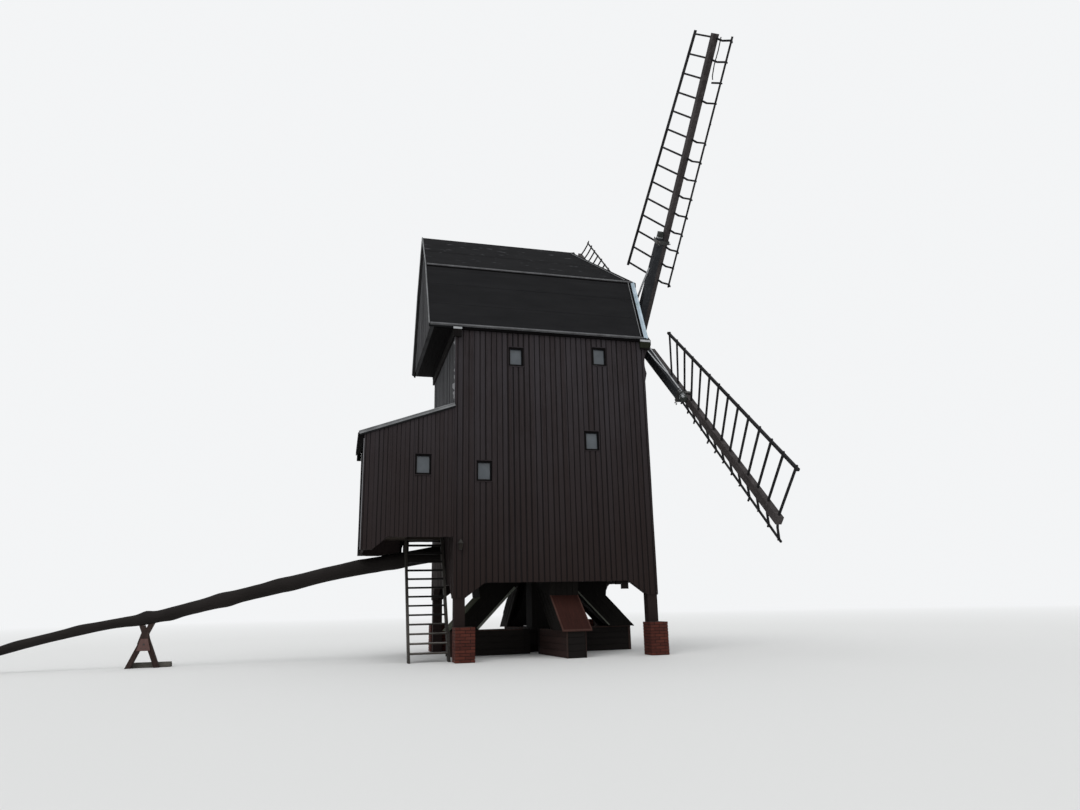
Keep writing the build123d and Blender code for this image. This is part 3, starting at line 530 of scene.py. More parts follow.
sheet_metal("porch_metal", (0.2, 0.205, 0.21), (0.11, 0.112, 0.115))
sheet_metal("lamp_metal", (0.012, 0.011, 0.01), (0.022, 0.019, 0.016), roughness=0.75, metallic=0.0)
sheet_metal("iron", (0.035, 0.038, 0.038), (0.055, 0.05, 0.045), metallic=0.4)
sheet_metal("pale_iron", (0.34, 0.35, 0.36), (0.2, 0.2, 0.2), metallic=0.2)
brick_clay()
mortar()
glass("old_glass", (0.046, 0.055, 0.064), (0.07, 0.081, 0.092))
glass("lamp_glass", (0.01, 0.0075, 0.006), (0.022, 0.017, 0.013), roughness=0.5, specular=0.12)


# CAD nodes that stay in view, each with its finish
NODE_PAINTS = {
    "dark_boards": [
        "corner_posts", "corner_haunches", "side_wall_near", "side_wall_far", "front_wall", "rear_skirt",
        "front_gable_sides", "front_gable_top", "porch_wall_near", "porch_wall_outer",
        "porch_wall_far", "weather_beam_brackets",
    ],
    # The rear soffit takes the near-black painted shade.
    "shadow_black_boards": ["rear_soffit"],
    "grey_boards": ["rear_walls", "rear_wall_over_door", "rear_gable"],
    "structure_timber": [
        "crosstree_lengthwise", "crosstree_crosswise", "quarter_bars", "main_post", "sheers",
        "tail_pole_bolster", "crown_tree", "wall_plates", "cross_beams", "shaft_bearings",
    ],
    "dark_strut": ["strut_covers"],
    "pier_boards": ["trestle_piers"],
    "floor_boards": ["lower_floor", "upper_floor", "porch_floor"],
    "stair_timber": ["stair_treads"],
    "stringer_timber": ["stair_stringers"],
    "brick_clay": ["brick_piers"],
    "window_timber": ["window_frames"],
    "old_glass": ["window_panes"],
    "roof_felt": ["roof_lower_slopes", "roof_upper_far", "roof_upper_near", "roof_hip", "porch_roof"],
    "zinc": ["front_verge_strips"],
    "edge_metal": ["roof_edge_strips"],
    "lamp_metal": ["wall_lamp"],
    "pole_timber": ["tail_pole"],
    "trestle_timber": ["pole_trestle"],
    "sill_timber": ["trestle_sill"],
    "sail_timber": ["sail_lattice_a", "sail_lattice_b", "sail_lattice_c", "sail_lattice_d"],
    "whip_timber": ["sail_whips"],
    "stock_timber": ["sail_stocks", "windshaft"],
    "iron": ["stock_clamps"],
}
for finish, nodes in NODE_PAINTS.items():
    for node in nodes:
        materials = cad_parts[node].data.materials
        materials.clear()
        materials.append(paints[finish])


def side_face(y, out):
    """An upright face along the mill, which looks towards +Y or -Y. Its u is x, its v is the height."""
    return Face(at(0, y, 0), (1, 0, 0), (0, 0, 1), (0, out, 0))


def end_face(x, out):
    """An upright face across the mill, which looks towards +X or -X. Its u is y, its v is the height."""
    return Face(at(x, 0, 0), (0, 1, 0), (0, 0, 1), (out, 0, 0))


# Cladding
NEAR = side_face(-HALF_WIDTH, -1)
FAR = side_face(HALF_WIDTH, 1)
FRONT = end_face(HALF_LENGTH, 1)
REAR = end_face(-HALF_LENGTH, -1)
POST_JOINT = 1.55
HAUNCH_REACH = 0.52
WINDOW_SIZE = (0.42, 0.55)
SIDE_WINDOWS = [(-1.3, 7.9), (1.2, 8.06), (-2.22, 4.6), (0.88, 5.53)]
PORCH_WINDOW = (-3.86, 4.74)
BEAM_REAR = -2.66
BEAM_FRONT = 2.71
BEAM_TOP = 8.95
SHAFT_OPENING = 0.4
SHAFT_OPENING_TOP = SHAFT_Z + SHAFT_OPENING
ROOF_THICKNESS = 0.12
GABLE_X = ROOF_REAR + 0.07

# Porch
PORCH_OUTER = -5.18
PORCH_FAR = 0.12
PORCH_LOW = 2.79
PORCH_EDGE = 3.11
PORCH_FAR_EDGE = 3.18
PORCH_BOX_END = -4.0
PORCH_ROOF_TOP = 6.72
PORCH_SLOPE = 0.89 / 2.54
PORCH_ROOF_DROP = 0.1 * math.hypot(1, PORCH_SLOPE)
PORCH_ROOF_END = -HALF_LENGTH - 2.54

# Tail pole: x, height and radius of its stations
POLE = [
    (-1.3, 2.96, 0.215), (-2.82, 2.86, 0.23), (-5.66, 2.369, 0.21), (-8.23, 1.748, 0.19),
    (-10.44, 1.199, 0.152), (-11.25, 1.116, 0.12), (-12.88, 0.757, 0.122), (-15.15, 0.1, 0.1),
]


def level(height):
    return lambda u: height


def between(points, x):
    """The value at x on a line through points given as (x, value)."""
    for (x0, a), (x1, b) in zip(points, points[1:]):
        if x0 <= x <= x1:
            return a + (b - a) * (x - x0) / (x1 - x0)
    return points[0][1] if x < points[0][0] else points[-1][1]


def skirt_edge(half):
    """The lower edge of a wall's boards, which drop over the haunches and the tops of the posts."""
    inside = half - POST_SIZE
    return lambda u: between([(inside - HAUNCH_REACH, SKIRT), (inside, POST_JOINT)], abs(u))


def box_hole(x, z, width, height, margin=0.002):
    return (x - margin, x + width + margin, lambda u: (z - margin, z + height + margin))


def break_at(u):
    return (u, u, lambda _: (0, 0))


def side_top(u):
    """Under the eave, and under the ends of the two cross beams."""
    return UNDER_EAVE if BEAM_REAR < u < BEAM_FRONT else WALL_TOP


def roof_inside(y, extra=0.0):
    """Height of the roof's underside at a distance from the middle plane."""
    lower = math.hypot(KINK_Z - EAVE_Z, EAVE_Y - KINK_Y)
    upper = math.hypot(RIDGE_Z - KINK_Z, KINK_Y)
    drop_low = (ROOF_THICKNESS + extra) * lower / (EAVE_Y - KINK_Y)
    drop_high = (ROOF_THICKNESS + extra) * upper / KINK_Y
    low_line = EAVE_Z + (EAVE_Y - abs(y)) * (KINK_Z - EAVE_Z) / (EAVE_Y - KINK_Y) - drop_low
    high_line = KINK_Z + (KINK_Y - abs(y)) * (RIDGE_Z - KINK_Z) / KINK_Y - drop_high
    return min(low_line, high_line)


def porch_roof_under(x):
    return PORCH_ROOF_TOP + (x + HALF_LENGTH) * PORCH_SLOPE - PORCH_ROOF_DROP


def pole_height(x):
    return between(sorted((a, b) for a, b, _ in POLE), x)


def pole_radius(x):
    return between(sorted((a, c) for a, _, c in POLE), x)


def wall_cladding():
    """Boards on the two side walls, the front wall and the skirt under the rear wall."""
    side_edge = skirt_edge(HALF_LENGTH)
    end_edge = skirt_edge(HALF_WIDTH)
    holes = [box_hole(x, z, *WINDOW_SIZE) for x, z in SIDE_WINDOWS]
    holes += [break_at(BEAM_REAR), break_at(BEAM_FRONT)]
    holes += [break_at(side * (HALF_LENGTH - POST_SIZE)) for side in (-1, 1)]
    span = (-HALF_LENGTH - BOARD_RISE, HALF_LENGTH + BOARD_RISE)
    clad("side_boards_near", NEAR, span, side_edge, side_top, "dark_boards", holes=holes)
    clad("side_boards_far", FAR, span, side_edge, side_top, "dark_boards", holes=holes)
    breaks = [break_at(side * (HALF_WIDTH - POST_SIZE)) for side in (-1, 1)]
    span = (-HALF_WIDTH, HALF_WIDTH)
    clad("front_boards", FRONT, span, end_edge, level(WALL_TOP), "dark_boards", holes=breaks)
    radius = POLE[1][2] + 0.03

    def pole_gap(u):
        half = math.sqrt(max(radius ** 2 - u ** 2, 0))
        return POLE[1][1] - half, POLE[1][1] + half

    slices = [(radius * a / 4, radius * (a + 1) / 4, pole_gap) for a in range(-4, 4)]
    clad("rear_skirt_boards", REAR, span, end_edge, level(FLOOR_TOP), "dark_boards", holes=breaks + slices)


def window_heads():
    """Painted shade in each window: a deep near-black head and one near-black jamb, with a thin sill."""
    dark, sills = piles(2)
    width, height = WINDOW_SIZE
    bars = [
        ((0.004, width - 0.004), (height - 0.058, height), 0.024),
        ((width - 0.045, width - 0.002), (0.02, height - 0.05), 0.022),
        ((0.002, 0.03), (0.02, height - 0.05), 0.02),
        ((0.004, width - 0.004), (0, 0.024), 0.02),
    ]
    for face in (NEAR, FAR):
        places = SIDE_WINDOWS + [PORCH_WINDOW] if face is NEAR else SIDE_WINDOWS
        for x, z in places:
            for u, v, depth in bars:
                face.slab(dark, (x + u[0], x + u[1]), (z + v[0], z + v[1]), (0.0, depth), chamfer=0.003)
            u = (x - 0.012, x + width + 0.012)
            top = z + height
            face.slab(sills, u, (z - 0.026, z - 0.004), (0.004, 0.04), 0.6, chamfer=0.004)
            face.slab(sills, u, (top + 0.002, top + 0.018), (0.004, 0.036), chamfer=0.004)
    dark.build("window_shadow_frames", "shadow_black_boards", "window_timber")
    sills.build("window_sills", "dark_boards", "window_timber")


def rear_wall_cladding():
    """Bare weathered boards: the whole height beside the porch, and only above its roof behind it."""
    porch_line = PORCH_ROOF_TOP + 0.01
    edge = PORCH_FAR + 0.05
    top = level(WALL_TOP)
    clad(
        "rear_boards_far", REAR, (edge, HALF_WIDTH), level(FLOOR_TOP), top, "grey_boards",
        ragged=0.02, gap=0.05,
    )
    clad("rear_boards_near", REAR, (-HALF_WIDTH, edge), level(porch_line), top, "grey_boards", gap=0.05)
    torn = Pile()
    steps = 110
    back = -HALF_LENGTH - BOARD_RISE
    for lane, (inner, reach, seed) in enumerate(((0.004, 0.05, 2.1), (-0.01, 0.085, 6.4))):
        rings = []
        for step in range(steps + 1):
            height = porch_line + (WALL_TOP - porch_line) * step / steps
            spread = ripple(height * 8.0, seed, 0.4) + 0.5 * ripple(height * 19.0, seed, 3.1)
            whole = ripple(height * 1.9, seed, 7.0) < -0.12
            end = back - (0.004 if whole else max(0.004, reach * (0.25 + spread)))
            y = -HALF_WIDTH + inner - 0.01 * spread
            corners = ((back, 0), (end, 0), (end, 0.008), (back, 0.008))
            rings.append([at(x, y + depth, height) for x, depth in corners])
        torn.tube(rings, lane)
    torn.build("torn_corner_boards", "torn_edge", "grey_boards")


def gable_cladding():
    """Boards on both gables, with barge boards at the rear and a boarded soffit under it."""
    rear = end_face(GABLE_X, -1)
    half = EAVE_Y - 0.12
    clad(
        "rear_gable_boards", rear, (-half, half), level(UNDER_EAVE + 0.01), lambda u: roof_inside(u, 0.004),
        "gable_boards", "grey_boards", [break_at(u) for u in (0, -KINK_Y + 0.02, KINK_Y - 0.02)],
        pitch=0.24, gap=0.07,
    )
    # The far barge boards are near-black: painted shade.
    barge = Pile()
    kink = (KINK_Y - 0.02, roof_inside(KINK_Y - 0.02))
    for low_end, high_end in (((half, roof_inside(half)), kink), (kink, (0.0, roof_inside(0)))):
        run = Vector((0, high_end[0] - low_end[0], high_end[1] - low_end[1]))
        across = run.cross(Vector((-1, 0, 0))).normalized()
        face = Face(at(GABLE_X, *low_end), across, run.normalized(), (-1, 0, 0))
        face.slab(barge, (-0.02, 0.3), (-0.02, run.length + 0.02), (0.0, 0.045), chamfer=0.004)
    barge.build("far_barge_boards", "shadow_black_boards", "dark_boards")
    opening = (-SHAFT_OPENING, SHAFT_OPENING, lambda u: (BEAM_TOP - 1, SHAFT_OPENING_TOP))
    hip_under = KINK_Z + (HIP_FRONT - HALF_LENGTH) * (RIDGE_Z - KINK_Z) / (HIP_FRONT - HIP_RIDGE) - 0.16

    def top(u):
        return min(roof_inside(u, 0.004), hip_under - 0.05)

    half = HALF_WIDTH - 0.02
    clad(
        "front_gable_boards", FRONT, (-half, half), level(BEAM_TOP + 0.005), top,
        "dark_boards", holes=[opening] + [break_at(u) for u in (0, -KINK_Y, KINK_Y)],
    )
    # The soffit's boards are near-black: painted shade under the overhang.
    soffit = Pile()
    under = Face(at(0, 0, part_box("rear_soffit")[0].z), (1, 0, 0), (0, 1, 0), (0, 0, -1))
    start = GABLE_X + 0.09
    count = 5
    width = (BEAM_REAR - 0.22 - start) / count
    for index in range(count):
        left = start + index * width
        u = (left + 0.004, left + width - 0.004)
        under.slab(soffit, u, (-HALF_WIDTH, HALF_WIDTH), (-0.004, 0.012), chamfer=0.003)
    soffit.build("soffit_boards", "shadow_black_boards", "dark_boards")


def porch_cladding():
    """Narrow boards on the porch's three walls, and a pale edge on its outer corner."""
    narrow = {"pitch": 0.112, "gap": 0.016, "rise": 0.018}
    span = (PORCH_OUTER - BOARD_RISE, -HALF_LENGTH - BOARD_RISE - 0.004)

    def top(u):
        return porch_roof_under(u) - 0.002

    low_line = [(PORCH_OUTER, PORCH_LOW), (-4.91, PORCH_LOW), (-4.52, PORCH_EDGE), (-HALF_LENGTH, PORCH_EDGE)]
    holes = [break_at(-4.91), break_at(-4.52), box_hole(*PORCH_WINDOW, *WINDOW_SIZE)]
    clad(
        "porch_boards_near", NEAR, span, lambda u: between(low_line, u), top,
        "dark_boards", holes=holes, laths=0.25, **narrow,
    )
    outer = end_face(PORCH_OUTER, -1)
    clad(
        "porch_boards_outer", outer, (-HALF_WIDTH, PORCH_FAR), level(PORCH_LOW), level(top(PORCH_OUTER)),
        "shadow_black_boards", "dark_boards", laths=0, **narrow,
    )
    far = side_face(PORCH_FAR, 1)

    def far_low(u):
        if u > PORCH_BOX_END:
            return PORCH_FAR_EDGE
        beside = math.sqrt(pole_radius(u) ** 2 - PORCH_FAR ** 2)
        return max(PORCH_LOW, pole_height(u) + beside + 0.03)

    holes = [break_at(PORCH_BOX_END)]
    clad("porch_boards_far", far, span, far_low, top, "dark_boards", holes=holes, laths=0, **narrow)
    corner = Pile()
    edge = PORCH_OUTER - BOARD_RISE
    v = (PORCH_LOW, porch_roof_under(PORCH_OUTER) - 0.12)
    NEAR.slab(corner, (edge - 0.004, edge + 0.012), v, (0.005, 0.024), 1.0, chamfer=0.002)
    corner.build("porch_corner_edge", "torn_edge", "dark_boards")


wall_cladding()
window_heads()
rear_wall_cladding()
gable_cladding()
porch_cladding()


# Roof
def slope_face(low, high, side, x=0.0):
    """A roof slope on one side, from a low to a high (y, z): u along the mill, v up the slope."""
    up = Vector((0, side * (high[0] - low[0]), high[1] - low[1])).normalized()
    return Face(at(x, side * low[0], low[1]), (1, 0, 0), up, side * Vector((0, up.z, -up.y)))


EAVE = (EAVE_Y, EAVE_Z)
KINK = (KINK_Y, KINK_Z)
RIDGE = (0.0, RIDGE_Z)
LOWER_RUN = math.dist(EAVE, KINK)
UPPER_RUN = math.dist(KINK, RIDGE)
FRONT_FLARE = 0.21
VERGE_WIDTH = 0.11
HIP_UP = Vector((HIP_RIDGE - HIP_FRONT, 0, RIDGE_Z - KINK_Z)).normalized()
HIP_RUN = math.dist((HIP_FRONT, KINK_Z), (HIP_RIDGE, RIDGE_Z))
HIP = Face(at(HIP_FRONT, 0, KINK_Z), (0, 1, 0), HIP_UP, (HIP_UP.z, 0, -HIP_UP.x))


def front_reach(height):
    """The lower slopes widen towards the kink, to meet the corner of the hip."""
    return ROOF_FRONT + FRONT_FLARE * height / LOWER_RUN


def felt_course(pile, face, v, ends, seed):
    """One lapped course of felt, thicker at its lower edge, with soft waves."""
    columns = 26

    def place(s, t, side):
        height = v[0] + (v[1] - v[0]) * t
        left, right = ends(height)
        across = left + (right - left) * s
        wave = 0.004 * ripple(across * 0.8, height * 1.4, seed)
        edge = 0.006 * ripple(across * 1.1, seed, 4.0) if t == 0 else 0
        lift = 0.003 + 0.003 * (1 - t) + wave * (1 - t) * 0.4
        return face.point(across, height + edge, lift if side else -0.002)

    pile.plate(place, columns, 3, random.random())


def felt_courses(pile, face, run, count, ends, seed):
    """Equal courses of felt up a slope, where ends gives the slope's two sides at a height."""
    for course in range(count):
        felt_course(pile, face, (run * course / count, run * (course + 1) / count), ends, seed + course)


def flared_end(height):
    """The ends of a lower slope's felt, which stops short of the metal on its front edge."""
    return ROOF_REAR, front_reach(height) - 0.1


def hip_end(height):
    """The ends of an upper slope, whose front edge is the hip."""
    return ROOF_REAR, HIP_FRONT - (HIP_FRONT - HIP_RIDGE) * height / UPPER_RUN


def hip_sides(height):
    """The ends of the hip's felt, between its two slanting edges."""
    half = KINK_Y * (1 - height / HIP_RUN)
    return -half, half


def roof_covering():
    """Felt on all slopes, capping leaves on the hips and the ridge, and a row of nails under the ridge."""
    felts, caps, nails = piles(3)
    for side in (-1, 1):
        lower = slope_face(EAVE, KINK, side)
        upper = slope_face(KINK, RIDGE, side)
        felt_courses(felts, lower, LOWER_RUN, 3, flared_end, side * 5)
        felt_courses(felts, upper, UPPER_RUN, 2, hip_end, side * 7)
        corner = at(HIP_FRONT, side * KINK_Y, KINK_Z)
        hip_line = at(HIP_RIDGE, 0, RIDGE_Z) - corner
        along = hip_line.normalized()
        for face, inside in ((upper, at(0, 0, KINK_Z) - corner), (HIP, Vector((0, -side, 0)))):
            inward = face.out.cross(along)
            if inward.dot(inside) < 0:
                inward = -inward
            leaf = Face(corner, inward, along, face.out)
            leaf.slab(caps, (0.0, 0.13), (0.02, hip_line.length), (0.002, 0.016), chamfer=0.004)
        ridge = slope_face(RIDGE, KINK, side)
        ridge.slab(caps, (ROOF_REAR, HIP_RIDGE + 0.05), (-0.004, 0.15), (0.002, 0.017), chamfer=0.004)
        for index in range(17):
            x = ROOF_REAR + 0.2 + index * 0.29 + random.uniform(-0.03, 0.03)
            ridge.bolt(nails, x, 0.125, 0.016, 0.011, 0.006, 8)
    felt_courses(felts, HIP, HIP_RUN, 2, hip_sides, 31)
    felts.build("roof_felt_courses", "roof_felt")
    caps.build("ridge_and_hip_felt", "roof_felt")
    nails.build("ridge_nails", "nail_metal", "edge_metal")


def rolled(pile, start, end, outward, normal, lip=0.045, flange=0.05, radius=0.024):
    """A strip of sheet metal with a flange on the roof, a rolled edge and a lip over the roof's end."""
    section = [(-flange, 0.0), (-flange, 0.009)]
    for step in range(9):
        angle = math.radians(150 - 30 * step)
        section.append((0.004 + radius * math.cos(angle), 0.013 + radius * math.sin(angle)))
    section += [(0.007, -lip), (0.002, -lip), (0.002, 0.0)]
    start, end, outward, normal = (Vector(v) for v in (start, end, outward, normal))
    count = max(2, int((end - start).length / 0.6))
    rings = []
    for step in range(count + 1):
        middle = start.lerp(end, step / count)
        sag = 0.004 * noise.noise(middle * 0.9)
        rings.append([middle + outward * (a + sag) + normal * b for a, b in section])
    pile.tube(rings, random.random())


def edge_metalwork():
    """Rolled strips on the roof's edges, and the wide zinc verges on the flared front ends, with near-black
    boards as painted shadow below the kink, under the eave and beside the verges.
    """
    grey, white, zinc, fold, black, deck = piles(6)
    rear = (-1, 0, 0)
    for side in (-1, 1):
        lower = slope_face(EAVE, KINK, side)
        upper = slope_face(KINK, RIDGE, side)
        eave_end = lower.point(ROOF_FRONT - VERGE_WIDTH - 0.02, 0, 0)
        rolled(grey, lower.point(ROOF_REAR + 0.03, 0, 0), eave_end, -lower.up, lower.out)
        kink_line = (upper.point(x, 0, 0.004) for x in (ROOF_REAR + 0.03, HIP_FRONT - 0.02))
        rolled(grey, *kink_line, -upper.up, upper.out, lip=0.03, radius=0.03)
        # A near-black band below the kink: painted shadow.
        v = (LOWER_RUN - 0.085, LOWER_RUN)
        lower.slab(black, (ROOF_REAR + 0.03, ROOF_FRONT + 0.16), v, (0.004, 0.016))
        # A near-black board under the eave: painted shadow.
        wall = NEAR if side < 0 else FAR
        wall.slab(
            black, (-HALF_LENGTH - 0.02, HALF_LENGTH + 0.02), (UNDER_EAVE - 0.04, UNDER_EAVE + 0.03),
            (BOARD_RISE + 0.003, 0.1), chamfer=0.003,
        )
        for face, run in ((lower, LOWER_RUN), (upper, UPPER_RUN)):
            ends = (face.point(ROOF_REAR, v, 0) for v in (0, run))
            rolled(white, *ends, rear, face.out, flange=0.02, radius=0.016)

        def along(back, height, lift):
            return lower.point(front_reach(height) - back, height, lift)

        def band(pile, back, lift, heights):
            """A flat piece along the front end, between two distances behind it and two lifts."""
            section = ((back[1], lift[0]), (back[1], lift[1]), (back[0], lift[1]), (back[0], lift[0]))
            pile.tube([[along(a, v, b) for a, b in section] for v in heights])

        band(deck, (0.004, 0.17), (-0.1, 0.002), (0.0, LOWER_RUN))
        band(zinc, (0.0, VERGE_WIDTH), (0.004, 0.018), [v * LOWER_RUN / 6 for v in range(7)])
        ends = (along(0, v, 0.012) for v in (-0.03, LOWER_RUN))
        rolled(zinc, *ends, (1, 0, 0), lower.out, lip=0.11, flange=0.03, radius=0.015)
        # A near-black band beside the zinc: painted shadow.
        band(black, (VERGE_WIDTH, VERGE_WIDTH + 0.07), (0.004, 0.015), (0.02, LOWER_RUN - 0.02))
        ends = (along(VERGE_WIDTH + 0.085, v, 0.006) for v in (0.05, LOWER_RUN - 0.02))
        rolled(fold, *ends, rear, lower.out, lip=0.0, flange=0.01, radius=0.012)
        hip_line = Vector(at(HIP_RIDGE, 0, RIDGE_Z)) - upper.point(HIP_FRONT, 0, 0)
        inward = upper.out.cross(hip_line.normalized())
        inward = inward if inward.x < 0 else -inward
        corner = upper.point(HIP_FRONT, 0, 0.012)
        start, end = (corner + hip_line * share + inward * 0.11 for share in (0.1, 0.98))
        rolled(fold, start, end, -inward, upper.out, lip=0.0, flange=0.008, radius=0.008)
    hip_front = HIP.point(-KINK_Y + 0.03, 0, 0.004), HIP.point(KINK_Y - 0.03, 0, 0.004)
    rolled(grey, *hip_front, -HIP.up, HIP.out, lip=0.03)
    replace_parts(grey.build("rolled_edge_strips", "edge_metal"), "roof_edge_strips")
    white.build("rear_verge_strips", "porch_metal", "edge_metal")
    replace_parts(zinc.build("front_verges", "zinc"), "front_verge_strips")
    fold.build("thin_roof_folds", "porch_metal", "edge_metal")
    black.build("roof_shadow_boards", "shadow_black_boards", "roof_felt")
    deck.build("front_verge_decks", "roof_felt")


def beam_ends():
    """Folded metal caps on the ends of the two cross beams, and moss under the front ones."""
    caps, moss = piles(2)
    reach = 0.12
    for face in (NEAR, FAR):
        v = (BEAM_TOP - 0.28, BEAM_TOP - 0.09)
        face.slab(moss, (BEAM_FRONT - 0.02, 3.01), v, (0.06, 0.132), chamfer=0.01)
        for x0, x1 in ((-2.88, BEAM_REAR), (BEAM_FRONT, 3.0)):
            u = (x0 - 0.012, x1 + 0.012)
            face.slab(caps, u, (BEAM_TOP - 0.085, BEAM_TOP - 0.02), (reach, reach + 0.006))
            face.slab(caps, u, (BEAM_TOP - 0.024, BEAM_TOP - 0.018), (0.06, reach + 0.006))
            for edge in (x0 - 0.012, x1 + 0.007):
                v = (BEAM_TOP - 0.07, BEAM_TOP - 0.02)
                face.slab(caps, (edge, edge + 0.005), v, (0.07, reach + 0.004))
    caps.build("beam_end_caps", "cap_metal", "edge_metal")
    moss.build("mossy_beam_ends", "mossy_beam", "structure_timber")


def porch_roof_edges():
    """Felt and sheet metal on the porch roof, with a thin fascia and two blocks under its low edge."""
    metal, felts = piles(2)
    up = Vector((1, 0, PORCH_SLOPE)).normalized()
    normal = Vector((-up.z, 0, up.x))
    low = at(PORCH_ROOF_END, 0, PORCH_ROOF_TOP - 2.54 * PORCH_SLOPE)
    high = at(-HALF_LENGTH - BOARD_RISE, 0, PORCH_ROOF_TOP - BOARD_RISE * PORCH_SLOPE)
    near, far = -HALF_WIDTH - 0.05, PORCH_FAR + 0.05
    for y, side in ((near, -1), (far, 1)):
        ends = (end + Vector((0, y, 0)) for end in (low, high))
        rolled(metal, *ends, (0, side, 0), normal, lip=0.06, flange=0.06, radius=0.016)
    sheet = Face(low, (0, 1, 0), up, normal)
    felt_courses(felts, sheet, (high - low).length, 3, lambda height: (near + 0.02, far - 0.02), 50)
    metal.build("porch_roof_edges", "porch_metal", "edge_metal")
    felts.build("porch_roof_felt", "roof_felt")
    fascia = Pile()
    outer = end_face(PORCH_ROOF_END, -1)
    under = porch_roof_under(PORCH_ROOF_END)
    v = (under - 0.03, under + 0.085)
    outer.slab(fascia, (near - 0.004, far + 0.004), v, (0.002, 0.024), chamfer=0.003)
    outer.slab(fascia, (near + 0.02, far - 0.02), (under - 0.02, under + 0.02), (-0.12, 0.004))
    for edge in (near + 0.03, far - 0.12):
        outer.slab(fascia, (edge, edge + 0.09), (under - 0.2, under + 0.01), (-0.13, -0.01), chamfer=0.004)
    fascia.build("porch_fascia", "shadow_black_boards", "dark_boards")


roof_covering()
edge_metalwork()
beam_ends()
porch_roof_edges()


# Brick piers at the corner posts
BRICK_DEPTH = 0.12
COURSE = 0.077
COURSES = 11
JOINT = 0.014


def brick_course(length, depth, course):
    """The bricks of one course as spans of u and v: courses alternate, and the top one is closed."""
    long_v = (0.0, depth - BRICK_DEPTH)
    short_u = (0.0, length - BRICK_DEPTH)
    inner_u = (BRICK_DEPTH, length - BRICK_DEPTH)
    inner_v = (BRICK_DEPTH, depth - BRICK_DEPTH)
    rows = []
    if course % 2:
        for v in long_v:
            rows += [(u, (v, v + BRICK_DEPTH)) for u in ((0, length / 2), (length / 2, length))]
        rows += [((u, u + BRICK_DEPTH), inner_v) for u in short_u]
    else:
        for u in short_u:
            rows += [((u, u + BRICK_DEPTH), v) for v in ((0, depth / 2), (depth / 2, depth))]
        rows += [(inner_u, (v, v + BRICK_DEPTH)) for v in long_v]
    if course == COURSES - 1:
        rows.append((inner_u, inner_v))
    return rows


def brickwork():
    """Four piers of single bricks round a core of mortar, each in a corner of the mill."""
    bricks, core = piles(2)
    length, depth = 0.5, 0.52
    inset = 0.01
    half = JOINT / 2
    for sign_x, sign_y in ((-1, -1), (-1, 1), (1, -1), (1, 1)):
        corner = at(sign_x * (HALF_LENGTH + 0.04), sign_y * HALF_WIDTH, 0)
        pier = Face(corner, (-sign_x, 0, 0), (0, sign_y, 0), (0, 0, 1))
        pier.slab(core, (inset, length - inset), (0.002, depth - inset), (0.0, COURSES * COURSE - 0.004))
        for course in range(COURSES):
            w = (course * COURSE + half, (course + 1) * COURSE - half)
            for u, v in brick_course(length, depth, course):
                u0 = u[0] + (half if u[0] > 0 else 0) + random.uniform(0, 0.002)
                u1 = u[1] - (half if u[1] < length - 0.001 else 0) - random.uniform(0, 0.002)
                v0 = v[0] + (half if v[0] > 0 else 0)
                v1 = v[1] - (half if v[1] < depth - 0.001 else 0) - random.uniform(0, 0.002)
                pier.slab(bricks, (u0, u1), (v0, v1), w, random.random(), chamfer=0.003)
    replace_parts(bricks.build("pier_bricks", "brick_clay", "brick"), "brick_piers")
    core.build("pier_mortar", "mortar", "brick")


# Trestle
POST_AXIS = Vector((0.1, 0, 0))
TRESTLE_TURN = 5
COVER_HALF = 0.41
COVER_FOOT = (2.81, 0.69)
COVER_KINK = (1.93, 1.57)
COVER_HEAD = (2.07, 2.64)
CHEEK_FOOT = (2.018, 0.69)
CHEEK_SIDE = (0.87, 1.838)
PIER_SPAN = (0.42, 2.75)
PIER_HALF = 0.24
PIER_TOP = 0.69
REAR_SIDE = 2
NEAR_SIDE = 3

# Widths of the pale weathered edges on two of the hoods' cheeks
PALE_EDGES = {(REAR_SIDE, 1): 0.07, (0, -1): 0.035}


def arm_face(side, origin, up, out):
    """A face on one of the trestle's four sides: origin, up and out as (reach, across, height)."""
    turn = Matrix.Rotation(math.radians(TRESTLE_TURN + 90 * side), 3, "Z")
    up, out = Vector(up).normalized(), Vector(out).normalized()
    place = at(0, 0, 0) + POST_AXIS + turn @ Vector(origin)
    return Face(place, turn @ up.cross(out), turn @ up, turn @ out)


def line_face(side, low, high, across=0):
    """A face on a hood along a line between two (reach, height): its outside, or one of its cheeks."""
    up = (high[0] - low[0], 0, high[1] - low[1])
    out = (0, across, 0) if across else (up[2], 0, -up[0])
    return arm_face(side, (low[0], across * COVER_HALF, low[1]), up, out)


